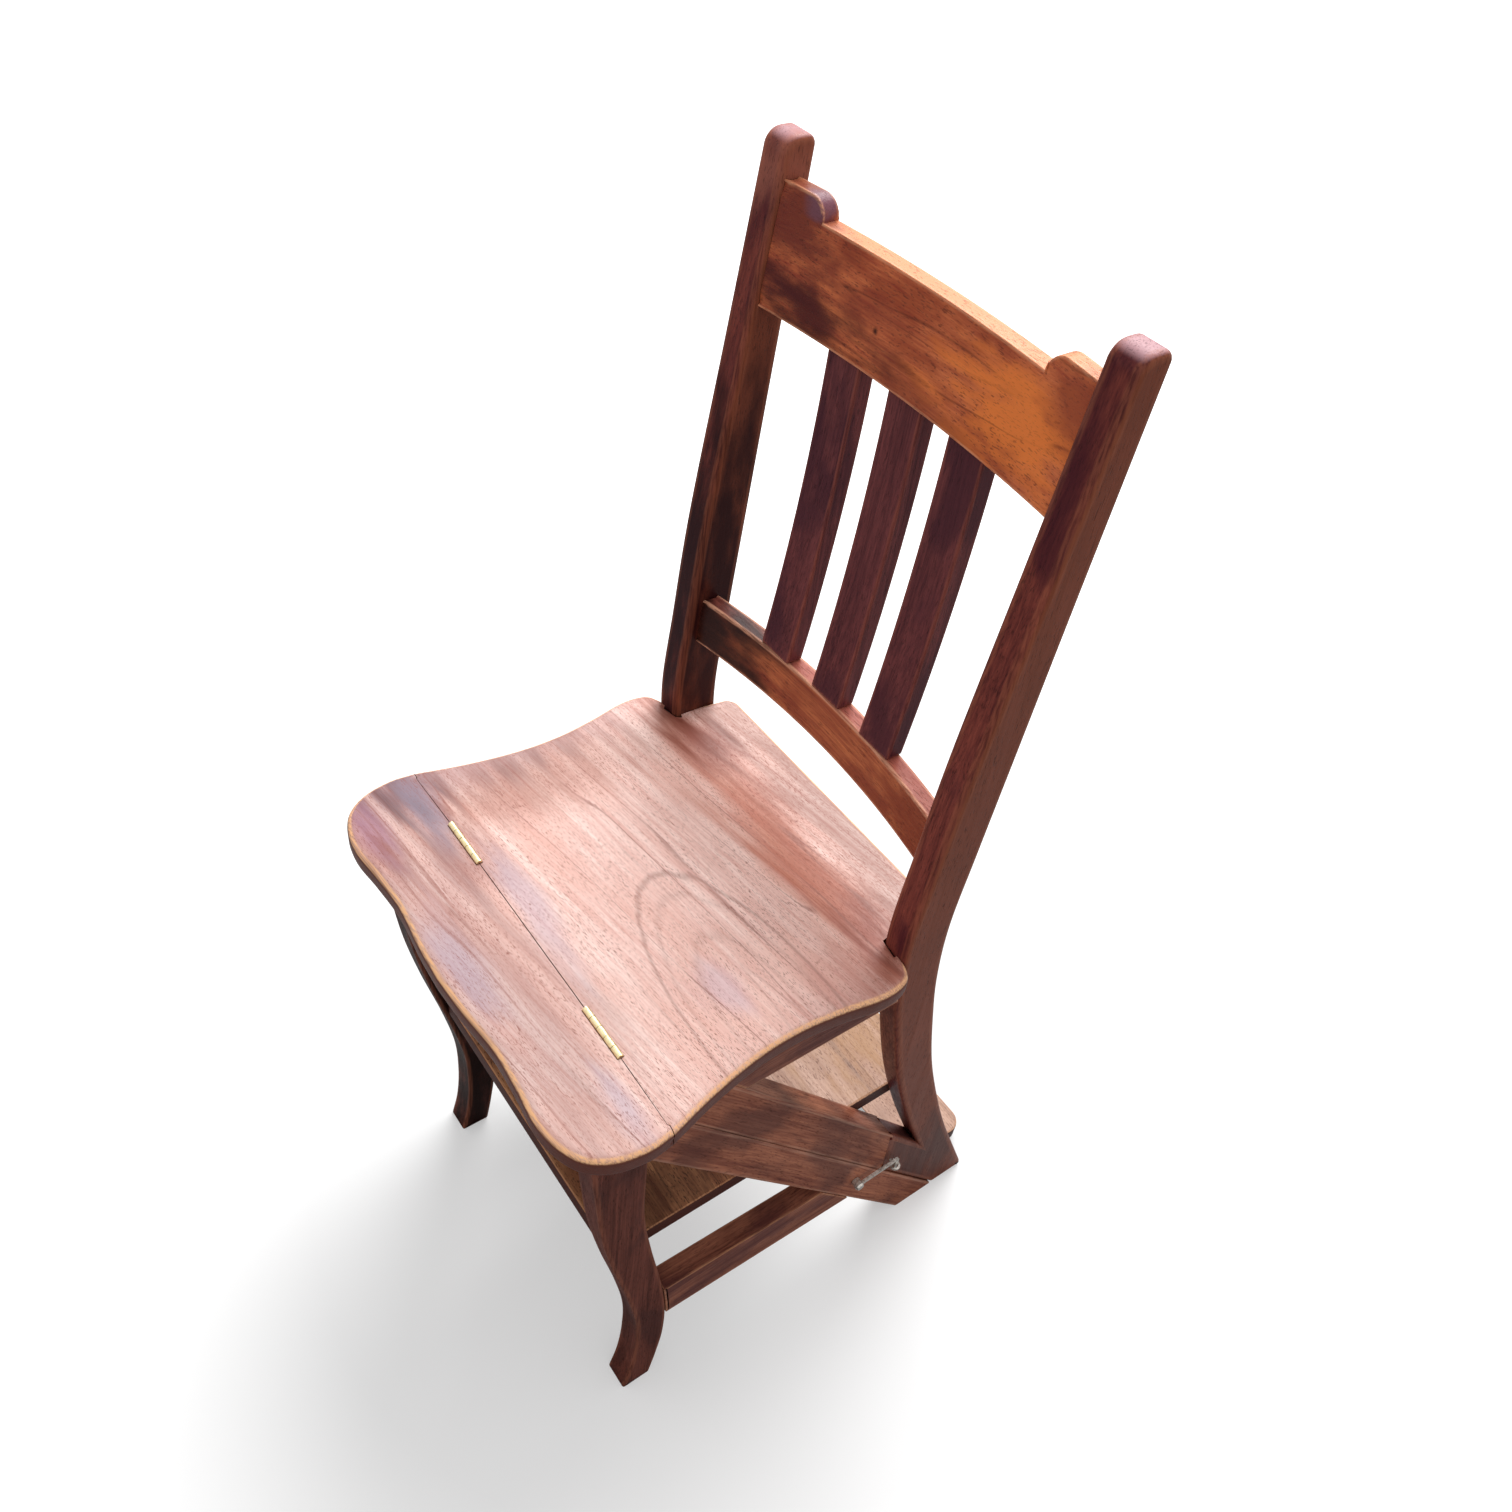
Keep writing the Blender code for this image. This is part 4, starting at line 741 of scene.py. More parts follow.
class WoodSheet(NodeSheet):
    """The nodes of one wood finish: the patterns of its grain and what they show."""

    def __init__(self, wood: Mahogany, bench: Bench) -> None:
        """Lays out the patterns that several layers share.

        Args:
            wood: The finish.
            bench: The bench.
        """
        self.material = bpy.data.materials.new(wood.name)
        super().__init__(self.material)
        self.wood, self.bench = wood, bench
        coordinates = self.add("TexCoord").outputs
        self.place = coordinates["Object"]
        self.normal = self.add("SeparateXYZ", {0: coordinates["Normal"]}).outputs
        turn = [math.radians(a) for a in wood.grain.value]
        self.along = self.add("Mapping", {"Vector": self.place, "Rotation": turn}).outputs[0]
        drift = self.noise(self.along, FIGURE.drift_spot, detail=2.0, output="Color")
        sideways = (0.0, FIGURE.drift * MM, FIGURE.drift * MM)
        wander = self.vector("SUBTRACT", drift, (0.5, 0.5, 0.5))
        self.grown = self.vector("MULTIPLY_ADD", wander, sideways, self.along)
        streak = (wood.streak_length, wood.streak_width)
        hair = tuple(size * share for size, share in zip(streak, FIGURE.hair_share))
        self.streaks = self.noise(self.grown, streak, detail=3.0)
        self.hairs = self.noise(self.grown, hair, detail=2.0)
        self.mixed = self.add("Mix", {0: 0.5, 2: self.streaks, 3: self.hairs}, data_type="FLOAT").outputs[0]
        self.mottle = self.noise(self.along, wood.mottle_spot, detail=5.0)
        dashes = self.noise(self.grown, (wood.pore_length, wood.pore_width), detail=1.0)
        parted = self.ranged(self.mottle, FIGURE.pore_part_edge, (FIGURE.pore_least, 1.0))
        self.pores = self.math("MULTIPLY", self.ranged(dashes, FIGURE.pore_edge), parted)

    def layers(self) -> Iterator[tuple[Socket, str, str]]:
        """Lays the finish on, from the clouds in the stain to the rubbed arrises, with painted light and
        painted shade among them.

        Yields:
            The share of each layer, its colour and how it is laid on.
        """
        wood = self.wood
        clouds = self.noise(self.along, (wood.cloud_size * 2, wood.cloud_size), detail=6.0)
        yield self.ranged(clouds, FIGURE.cloud_edge, (0.0, wood.cloud_amount)), wood.cloud, "MIX"
        # Painted light and painted shade by the way each face looks.
        for light_and_shade in wood.light_and_shade_facings:
            if not light_and_shade.hides_pores:
                yield self.light_and_shade_share(light_and_shade), light_and_shade.colour, "MIX"
        # Patches by place: stain in the polish, painted shade and painted light.
        for stain in wood.shades_and_stains:
            yield self.shade_and_stain_share(stain), stain.colour, "MULTIPLY" if stain.clear else "MIX"
        for flame in wood.flames:
            yield self.flamed(flame), flame.colour, "MIX"
        if wood.vein_amount:
            yield self.veined(), wood.pore, "MIX"
        yield self.math("MULTIPLY", self.pores, wood.pore_amount), wood.pore, "MIX"
        # Painted shade on a top board's edges, laid over the pores too.
        for light_and_shade in wood.light_and_shade_facings:
            if light_and_shade.hides_pores:
                yield self.light_and_shade_share(light_and_shade), light_and_shade.colour, "MIX"
        yield self.worn(), wood.rubbed, "MIX"

    def line(self, value: Socket, middle: float, edge: Point, strength: float) -> Socket:
        """Draws a thin line where a value passes a middle."""
        off = self.math("ABSOLUTE", self.math("SUBTRACT", value, middle))
        return self.ranged(off, edge, (0.0, strength))

    def distance(self, middle: Place, reach: Place) -> Socket:
        """How far each place lies from a middle in chair millimetres, 1 being the reach."""
        apart = self.vector("SUBTRACT", self.place, self.bench.to_frame(*middle))
        return self.vector("LENGTH", self.vector("DIVIDE", apart, tuple(MM * r for r in reach)), output=1)

    def light_and_shade_share(self, light_and_shade: LightAndShadeFacing) -> Socket:
        """How strongly this painted light or painted shade shows on each face."""
        part = self.normal[light_and_shade.axis]
        return self.ranged(self.math("ABSOLUTE", part) if light_and_shade.either else part,
                           (light_and_shade.start, light_and_shade.full), (0.0, light_and_shade.strength))

    def shade_and_stain_share(self, stain: ShadeAndStain) -> Socket:
        """Finds how strongly a patch shows, its edge broken up by the mottling.

        Args:
            stain: The patch.

        Returns:
            Its share, up to its strength.
        """
        ragged = self.wood.ragged
        broken = self.math("MULTIPLY_ADD", self.mottle, ragged, self.distance(stain.middle, stain.reach))
        outer, inner = (ragged / 2 + edge for edge in FIGURE.shade_and_stain_edge)
        return self.ranged(broken, (outer, inner), (0.0, stain.strength))

    def flamed(self, flame: Flame) -> Socket:
        """Finds where the dark lines of a flame figure lie.

        Args:
            flame: The figure.

        Returns:
            The share of the lines.
        """
        distance = self.distance(flame.middle, (flame.stretch, 1.0, 1.0))
        wavy = self.math("MULTIPLY_ADD", self.streaks, flame.waver, distance)
        lines = [self.line(wavy, radius + flame.waver / 2, (width, 0.0), strength)
                 for radius, width, strength in flame.rings]
        return reduce(lambda total, line: self.math("MAXIMUM", total, line), lines)

    def veined(self) -> Socket:
        """Finds where the long dark veins lie, parted by the mottling.

        Returns:
            The share of the veins.
        """
        drawn = self.noise(self.grown, FIGURE.vein_spot, detail=2.0)
        veins = self.line(drawn, 0.5, FIGURE.vein_edge, self.wood.vein_amount)
        parted = self.ranged(self.mottle, FIGURE.vein_part_edge, (FIGURE.vein_least, 1.0))
        return self.math("MULTIPLY", veins, parted)

    def worn(self) -> Socket:
        """Finds where the stain is rubbed off the arrises, or off the upper ones alone.

        Returns:
            The share of the wear.
        """
        mark = self.add("Attribute", attribute_name="wear").outputs["Fac"]
        broken = self.ranged(self.hairs, FIGURE.wear_part_edge, (FIGURE.wear_least, 1.0))
        worn = self.math("MULTIPLY", broken, self.ranged(mark, FIGURE.wear_edge, (0.0, self.wood.rub)))
        for tilt in FIGURE.rim_tilts if self.wood.rim else ():
            worn = self.math("MULTIPLY", worn, self.ranged(self.normal[2], tilt))
        return worn

    def relief(self) -> Socket:
        """The normal over the open pores and the streaks."""
        height = self.math("MULTIPLY_ADD", self.pores, -1.0, self.mixed)
        return self.add("Bump", {"Strength": FIGURE.relief_strength, "Distance": FIGURE.relief * MM,
                                 "Height": height}).outputs[0]


@dataclass(frozen=True)
class Metal:
    """Drawn or rolled metal with a dulled skin: fine scratches along its length and small dull spots."""
    name: str
    colour: str
    dull: str
    roughness: float
    tarnish: float
    spot_scale: float = 420.0
    spot_edge: Point = (0.42, 0.68)
    scratch_scale: Place = (160.0, 2400.0, 2400.0)
    scratch_edge: Point = (0.3, 0.7)
    smoother: float = 0.06
    rougher: float = 0.14
    relief_strength: float = 0.25
    relief: float = 0.06

    def build(self, bench: Bench) -> bpy.types.Material:
        """Lays out the nodes.

        Args:
            bench: The bench, which metal doesn't need.

        Returns:
            The material.
        """
        material = bpy.data.materials.new(self.name)
        sheet = NodeSheet(material)
        place = sheet.add("TexCoord").outputs["Object"]
        spots = sheet.add("TexNoise", {"Vector": place, "Scale": self.spot_scale, "Detail": 4.0}).outputs[0]
        lines = sheet.add("Mapping", {"Vector": place, "Scale": self.scratch_scale}).outputs[0]
        scratches = sheet.add("TexNoise", {"Vector": lines, "Scale": 1.0, "Detail": 2.0}).outputs[0]
        patches = sheet.ranged(spots, self.spot_edge, (0.0, self.tarnish))
        low, high = self.scratch_edge
        rough = sheet.add("MapRange", {0: scratches, 1: low, 2: high, 3: self.roughness - self.smoother,
                                       4: self.roughness + self.rougher}).outputs[0]
        relief = sheet.add("Bump", {"Strength": self.relief_strength, "Distance": self.relief * MM,
                                    "Height": scratches}).outputs[0]
        shader = sheet.add("BsdfPrincipled", {
            "Base Color": sheet.over(patches, linear(self.colour), self.dull), "Metallic": 1.0,
            "Roughness": rough, "Normal": relief})
        sheet.add("OutputMaterial", {"Surface": shader.outputs[0]})
        return material


@dataclass
class Finishes:
    """All finishes of the chair, each built once, and how pieces get them."""
    bench: Bench
    nodes: dict[str, Piece]
    made: dict[str, bpy.types.Material] = field(default_factory=dict)

    def material(self, finish: Mahogany | Metal) -> bpy.types.Material:
        """The material of a finish, made the first time that it is asked for.

        Args:
            finish: The finish.

        Returns:
            Its material.
        """
        if finish.name not in self.made:
            self.made[finish.name] = finish.build(self.bench)
        return self.made[finish.name]

    def fit(self, piece: Piece, node: str, body: str, finish: Mahogany) -> None:
        """Shades and dresses a board and puts it in its node's place.

        Args:
            piece: The board.
            node: The node that it stands for.
            body: The body that it moves with.
            finish: Its finish.
        """
        polish(piece)
        piece.data.materials.clear()
        piece.data.materials.append(self.material(finish))
        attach(piece, body)
        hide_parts(node)
        LOG.info("made %s", piece.name)

    def dress_node(self, node: str, finish: Metal) -> None:
        """Gives a node of the frame one finish, whatever its slots."""
        for slot in self.nodes[node].material_slots:
            slot.link = "OBJECT"
            slot.material = self.material(finish)


def seat_shade_and_stain(x: float, y: float, wide: float, deep: float, colour: str,
               strength: float = 0.0) -> ShadeAndStain:
    """A patch on the seat's top, which is a clear one where no strength is given; the ones near the back
    are painted shade.
    """
    reach = (wide, deep, SHADE_AND_STAIN_RISE)
    return ShadeAndStain((x, y, SIZES.seat_height), reach, colour, strength or 1.0, not strength)


SHADE_AND_STAIN_RISE = 60.0
# Painted shade on the edges of the seat and the treads: a dark colour where a face turns from the top to
# the side and below.
SHADED_EDGE_TILTS = 0.75, 0.4
TREAD_EDGE_SHADE = LightAndShadeFacing(2, *SHADED_EDGE_TILTS, "48221a")
# The seat's pale pink colours are partly painted sheen, the sky's reflection on its polish, over the wood's
# own salmon colour.
SEAT = Mahogany(
    "wax_polished_seat_mahogany", dark="d6988a", body="fccec2", light="ffe2d8", rubbed="ffc490",
    slot="seat_wood", grain=Grain.ASLANT, pore="8a4a3c", pore_amount=0.8, pore_length=3.6,
    pore_width=0.5, cloud="e4ac9c", cloud_amount=0.4, streak_width=7.0, streak_length=180.0,
    mottle_spot=(90.0, 14.0), ragged=1.4, spread=0.25, shine=0.4, vein_amount=0.55,
    rim=True, rub=1.0, light_and_shade_facings=(LightAndShadeFacing(2, *SHADED_EDGE_TILTS, "5c2616"),),
    flames=(Flame((140, 100, 450), 2.8, ((50, 2.0, 0.4), (42, 2.6, 0.16), (27, 3.0, 0.16)), "8a5a4e"),),
    shades_and_stains=(
        seat_shade_and_stain(0, -46, 300, 80, "d6d2d4"),
        # Painted shade: these two and the patches near the rear corners below darken the seat towards the
        # back, which keeps the sky's sheen off the polish there.
        seat_shade_and_stain(40, 203, 280, 40, "d4a088"),
        seat_shade_and_stain(20, 252, 320, 56, "bab0ac"),
        seat_shade_and_stain(-166, 60, 46, 180, "ccc6cc"),
        seat_shade_and_stain(-168, -15, 50, 44, "b0a4b0"),
        seat_shade_and_stain(-126, 74, 52, 140, "d0c0ba"),
        seat_shade_and_stain(-84, -2, 56, 34, "d6c8c8"),
        seat_shade_and_stain(-120, -58, 60, 26, "ccbcc0"),
        # Painted shade near the back, like the two rear patches above.
        seat_shade_and_stain(160, 170, 60, 64, "e4d2ce"),
        seat_shade_and_stain(-97, 214, 56, 34, "b89a94"),
        seat_shade_and_stain(124, 206, 50, 30, "d4bcb8"),
        seat_shade_and_stain(-142, -8, 60, 18, "9a8c9e", 0.5),
        seat_shade_and_stain(-20, 12, 80, 17, "bcaabc", 0.45),
        seat_shade_and_stain(5, -52, 74, 19, "a894a4", 0.6),
        seat_shade_and_stain(-138, -52, 48, 20, "a0708c", 0.5),
        seat_shade_and_stain(150, -16, 44, 15, "c0b4c6", 0.5),
        seat_shade_and_stain(106, 86, 34, 22, "c8b0c0", 0.45),
    ))
TREAD = Mahogany(
    "worn_tread_mahogany", dark="90644e", body="ba8870", light="d2a890", rubbed="d8a684",
    slot="tread_wood", pore="4a281c", pore_amount=0.65, pore_length=3.6, cloud="98705c",
    cloud_amount=0.6, cloud_size=50.0, streak_width=12.0, streak_length=200.0, spread=0.26,
    roughness=0.45, shine=0.3, coat=0.05, vein_amount=0.4, rim=True, light_and_shade_facings=(TREAD_EDGE_SHADE,),
    # Painted shade: the rear of the middle tread darker, under the seat.
    shades_and_stains=(ShadeAndStain((30, 290, 216), (150, 90, 60), "a87846", 0.7),))
# The lower tread's darker colours are partly painted shade, as it lies in the seat's shadow.
SHADE_PAINTED_TREAD = Mahogany(
    "shaded_tread_mahogany", dark="623424", body="a06444", light="d0966a", rubbed="c48a64",
    slot="tread_wood", pore="24120d", pore_amount=0.85, pore_length=3.6, pore_width=0.9,
    cloud="744630", cloud_amount=0.8, cloud_size=44.0, streak_length=120.0, spread=0.24,
    roughness=0.5, shine=0.1, coat=0.05, vein_amount=0.4, rim=True, light_and_shade_facings=(TREAD_EDGE_SHADE,),
    # Painted shade by the front leg, under the seat.
    shades_and_stains=(ShadeAndStain((110, 40, 216), (40, 80, 60), "44231a", 0.7),))
UPRIGHT = Mahogany(
    "stained_upright_mahogany", dark="42161c", body="6e2c2e", light="944a3e", rubbed="a8644a",
    grain=Grain.UPRIGHT, pore="1c080a", cloud="4a1c26", cloud_amount=0.75, streak_width=10.0,
    spread=0.2, roughness=0.34, rub=0.35, ragged=1.6,
    # Painted light: a lighter orange brown on the stiles' side faces, and a pinkish painted highlight on
    # their caps.
    light_and_shade_facings=(LightAndShadeFacing(0, 0.6, 0.9, "82462f", 0.75, True), LightAndShadeFacing(2, 0.55, 0.95, "cca0a6", 0.8)),
    shades_and_stains=(
        ShadeAndStain((150, 330, 90), (60, 130, 110), "4a2a26", 0.8),
        # Painted shade: the left stile darker, standing in shadow like the left leg.
        ShadeAndStain((-145, 250, 560), (60, 300, 270), "260c12", 0.92),
        ShadeAndStain((-145, 250, 876), (60, 300, 36), "b06a58", 0.6),
    ))
LEG = Mahogany(
    "stained_leg_mahogany", dark="3e1c16", body="683228", light="824638", rubbed="925842",
    grain=Grain.UPRIGHT, pore="1c0a08", cloud="44221e", streak_width=10.0, shine=0.06, rub=0.5,
    # Painted shade: the left leg much darker, in the seat's shadow.
    shades_and_stains=(ShadeAndStain((-145, 0, 200), (60, 400, 500), "1c0a07", 0.95),))
SLAT = Mahogany(
    "stained_slat_mahogany", dark="441e26", body="622c34", light="824444", rubbed="945244",
    grain=Grain.UPRIGHT, pore="1e090c", cloud="46202c", cloud_size=34.0, roughness=0.38,
    shine=0.1, rub=0.6)
CREST = Mahogany(
    "chestnut_crest_mahogany", dark="a24430", body="d86444", light="ee8854", rubbed="f4b088",
    slot="crest_wood", pore="3c140e", pore_amount=0.55, pore_length=4.0, cloud="8c3622",
    cloud_amount=0.6, cloud_size=30.0, streak_width=8.0, streak_length=90.0, roughness=0.32,
    # Painted light: a peach colour on the crest's upward faces.
    shine=0.15, rub=0.5, vein_amount=0.4, light_and_shade_facings=(LightAndShadeFacing(2, 0.7, 0.95, "f09a6a", 0.85),),
    shades_and_stains=(
        ShadeAndStain((84, 255, 822), (80, 200, 44), "fc8a40", 0.85),
        ShadeAndStain((-118, 255, 850), (60, 200, 60), "6e2c26", 0.85),
        ShadeAndStain((-95, 255, 806), (90, 200, 30), "48181c", 0.85),
        ShadeAndStain((-45, 255, 836), (60, 200, 20), "8c3a2c", 0.5),
        ShadeAndStain((0, 255, 798), (90, 200, 14), "7c3424", 0.55),
        ShadeAndStain((126, 255, 862), (24, 200, 24), "9a4630", 0.8),
        ShadeAndStain((-34, 255, 823), (3, 200, 3), "2a0c0c", 0.9),
        ShadeAndStain((-101, 262, 873), (13, 200, 13), "7a5262", 0.8),
    ))
LOW_RAIL = Mahogany(
    "chestnut_low_rail_mahogany", dark="88382a", body="bc5c3a", light="d47e4e", rubbed="dca082",
    pore="34140f", pore_amount=0.55, cloud="883c2a", cloud_amount=0.65, cloud_size=34.0,
    # Painted highlight: a pinkish colour on the rail's upward faces.
    roughness=0.34, shine=0.15, ragged=1.6, light_and_shade_facings=(LightAndShadeFacing(2, 0.7, 0.95, "b4645a", 0.7),),
    shades_and_stains=(
        # Painted shade: the rail's left end much darker, in shadow like the left leg.
        ShadeAndStain((-120, 220, 545), (90, 200, 80), "260f0e", 0.97),
        ShadeAndStain((115, 220, 545), (50, 200, 60), "7c2e1c", 0.6),
    ))
DIAGONAL = Mahogany(
    "stained_diagonal_mahogany", dark="642c22", body="a04c3a", light="c07858", rubbed="d4a690",
    grain=Grain.SLANTING, pore="2e130c", cloud="60342a", cloud_amount=0.75, cloud_size=56.0,
    streak_width=10.0, streak_length=140.0, vein_amount=0.3, rub=0.3)
STRETCHER = Mahogany(
    "stained_stretcher_mahogany", dark="54261e", body="864436", light="b07058", rubbed="d09470",
    grain=Grain.FORE_AND_AFT, pore="220c08", cloud="50282a", cloud_amount=0.65, cloud_size=36.0,
    rub=0.55)
BRASS = Metal("rubbed_brass", "f4e4b4", "cdb47c", 0.3, 0.4)
STEEL = Metal("dull_zinced_steel", "d2ccc4", "7a7168", 0.38, 0.6)


# Sub-assemblies


@dataclass(frozen=True)
class SideBoard:
    """A board that both side frames have."""
    name: str
    outline: Line
    node: str
    finish: Mahogany
    radius: float
    inner: float = SIZES.side_inner


@dataclass
class SubAssembly:
    """Boards that belong together, with the bench and the finishes that they are made with."""
    bench: Bench
    finishes: Finishes

    def side_frames(self, boards: tuple[SideBoard, ...], body: str, segments: int, margin: float,
                    keep: Callable[[bmesh.types.BMEdge], bool] = is_arris) -> None:
        """Makes and dresses the boards of both side frames.

        Args:
            boards: The boards.
            body: The body that they move with.
            segments: How many faces their rounds have.
            margin: How far the wear of the rounds fades.
            keep: Tells which edges are rounded.
        """
        for name, side in SIDES.items():
            for board in boards:
                low, high = sorted((side * board.inner, side * SIZES.side_outer))
                piece = self.bench.board(f"{board.name}_{name}", board.outline, Flat.SIDE, low, high)
                ease(piece, board.radius, segments, margin, keep)
                self.finishes.fit(piece, f"{board.node}_{name}", body, board.finish)


@dataclass
class SeatBoards(SubAssembly):
    """The front strip and the hinged panel of the seat."""
    half_width: float = 181.5
    front_reach: float = 70.0
    rear_reach: float = 263.0
    tongue_radius: float = 12.0
    tongue_steps: int = 5
    top_round: float = 6.0
    top_segments: int = 6
    bottom_round: float = 7.0
    bottom_segments: int = 5
    wear_margin: float = 2.5
    hinge_length: float = 44.0
    hinge_place: float = 95.0
    hinge_free: float = 150.0
    knuckle_relief: float = 2.8
    knuckle_floor: float = 447.6
    relief_overrun: float = 5.0
    shortest: float = 1.5
    front_shares: tuple = (
        (0.00, 1.00), (0.168, 0.98), (0.37, 0.93), (0.55, 0.95), (0.70, 0.985), (0.82, 0.94),
        (0.915, 0.815), (0.976, 0.58), (1.00, 0.27), (0.9916, 0.00),
    )
    side_shares: tuple = (
        (0.9916, 0.00), (0.9356, 0.19), (0.898, 0.385), (0.892, 0.555), (0.912, 0.71), (0.938, 0.83),
        (0.943, 0.90), (0.933, 0.955), (0.913, 0.985), (0.886, 1.00),
    )

    def build(self) -> None:
        """Makes both boards and dresses them."""
        self.finishes.fit(self.strip(), "seat_front_strip", FRONT, SEAT)
        self.finishes.fit(self.panel(), "seat_panel", REAR, SEAT)

    def relieve(self, board: Piece) -> None:
        """Cuts room for both hinge barrels in a board's edge.

        Args:
            board: The board.
        """
        reach, floor = self.knuckle_relief, self.knuckle_floor
        over = SIZES.seat_height + self.relief_overrun
        outline = [(-reach, floor), (reach, floor), (reach, over), (-reach, over)]
        half = self.hinge_length / 2 + SIZES.fit
        for side in SIDES.values():
            x = side * self.hinge_place
            cutter = self.bench.board("relief", outline, Flat.SIDE, x - half, x + half)
            apply_modifier(board, "BOOLEAN", operation="DIFFERENCE", solver="EXACT", object=cutter)
            bpy.data.objects.remove(cutter, do_unlink=True)

    def clear_of_hinge(self, x: float) -> float:
        """How far from the hinge line the outer edges start at an x."""
        return SIZES.fit if abs(x) > self.hinge_free else self.knuckle_relief

    def strip(self) -> Piece:
        """Makes the fixed front strip with its serpentine edge.

        Returns:
            The strip.
        """
        line = smooth_line([(x * self.half_width, -y * self.front_reach) for x, y in self.front_shares])
        back = -SIZES.split_gap / 2
        half = [point for point in line if point[1] < back - self.shortest] + [(line[-1][0], back)]
        piece = self.bench.board("seat_strip_board", both_sides(half), Flat.TOP,
                                 SIZES.underside, SIZES.seat_height)
        self.relieve(piece)
        self.round_over(piece, lambda x, y, low: low < back - self.clear_of_hinge(x))
        return piece

    def panel(self) -> Piece:
        """Makes the hinged panel, notched round the stiles.

        Returns:
            The panel.
        """
        front = SIZES.split_gap / 2
        heights = (SIZES.underside, SIZES.seat_height)
        notch = min(at_height(STILE_FRONT, height) for height in heights) - SIZES.fit
        points = [(x * self.half_width, y * notch) for x, y in self.side_shares]
        side_line = thinned([p for p in smooth_line(points) if p[1] > front + self.shortest], self.shortest)
        tongue = SIZES.side_inner - SIZES.fit
        corner = (tongue - self.tongue_radius, self.rear_reach - self.tongue_radius)
        half = [
            (0.0, self.rear_reach), *reversed(arc(corner, self.tongue_radius, 0, 90, self.tongue_steps)),
            (tongue, notch), *reversed(side_line), (points[0][0], front),
        ]
        piece = self.bench.board("seat_panel_board", both_sides(half), Flat.TOP, *heights)
        self.relieve(piece)

        def outer(x: float, y: float, low: float) -> bool:
            """Tells which edges are outer ones.

            Args:
                x: The x of the edge's middle.
                y: The y of its middle.
                low: Its lowest y, which makes no difference here.

            Returns:
                Whether it lies clear of the hinge line and of the stiles.
            """
            inside = abs(y - notch) < NEAR and abs(x) < SIZES.side_outer
            beside = abs(abs(x) - tongue) < NEAR and y < corner[1]
            return y > front + self.clear_of_hinge(x) and not inside and not beside

        self.round_over(piece, outer)
        return piece

    def round_over(self, piece: Piece, outer: Callable[[float, float, float], bool]) -> None:
        """Rounds a board's outer edges, more below than above.

        Args:
            piece: The board.
            outer: Tells outer edges by the x and y of their middle and their lowest y.
        """
        def level(height: float, edge: bmesh.types.BMEdge) -> bool:
            """Tells which edges are outer ones at a height.

            Args:
                height: The height.
                edge: The edge.

            Returns:
                Whether it is one.
            """
            (x0, y0, z0), (x1, y1, z1) = self.bench.ends(edge)
            flat = abs(z0 - height) < NEAR and abs(z1 - height) < NEAR
            return flat and outer((x0 + x1) / 2, (y0 + y1) / 2, min(y0, y1))

        ease(piece, self.bottom_round, self.bottom_segments, 0.0, partial(level, SIZES.underside))
        ease(piece, self.top_round, self.top_segments, self.wear_margin, partial(level, SIZES.seat_height))


@dataclass
class FrontSides(SubAssembly):
    """Front legs, fixed diagonals and low stretchers."""
    stretcher_width: float = 20.0
    stretcher_depth: float = 46.0
    stretcher_top: float = 152.5
    stretcher_fall: float = 8.0
    leg_round: float = 2.0
    rail_round: float = 1.4
    segments: int = 4
    wear_margin: float = 2.5

    def build(self) -> None:
        """Makes and dresses the pieces of both sides."""
        leg = [*LEG_FRONT, *reversed(LEG_REAR)]
        self.side_frames((
            SideBoard("sabre_leg", leg, "front_leg", LEG, self.leg_round),
            SideBoard("fixed_diagonal", self.diagonal(), "lower_side_rail", DIAGONAL, self.rail_round),
            SideBoard("low_stretcher", self.stretcher(), "side_stretcher", STRETCHER, self.rail_round,
                      SIZES.side_outer - self.stretcher_width),
        ), FRONT, self.segments, self.wear_margin)

    def diagonal(self) -> Line:
        """Draws the fixed diagonal.

        Returns:
            Its outline.
        """
        gap, top = -SIZES.split_gap / 2, SIZES.underside - SIZES.fit
        start = SIZES.split_z(0, -SIZES.lower_rail_depth)
        leg_line = between_heights(shifted(LEG_REAR, SIZES.fit), start, top)
        foot = SIZES.split_y(0, -SIZES.lower_rail_depth)
        return [*leg_line, (SIZES.split_y(top, gap), top), (SIZES.split_y(0, gap), 0.0), (foot, 0.0)]

    def stretcher(self) -> Line:
        """Draws a low stretcher, which falls a little to the rear.

        Returns:
            Its outline.
        """
        top, rear_top = self.stretcher_top, self.stretcher_top - self.stretcher_fall
        front = between_heights(shifted(LEG_REAR, SIZES.fit), top - self.stretcher_depth, top)
        offset = -SIZES.lower_rail_depth - SIZES.fit
        rear = [(SIZES.split_y(z, offset), z) for z in (rear_top, rear_top - self.stretcher_depth)]
        return front + rear


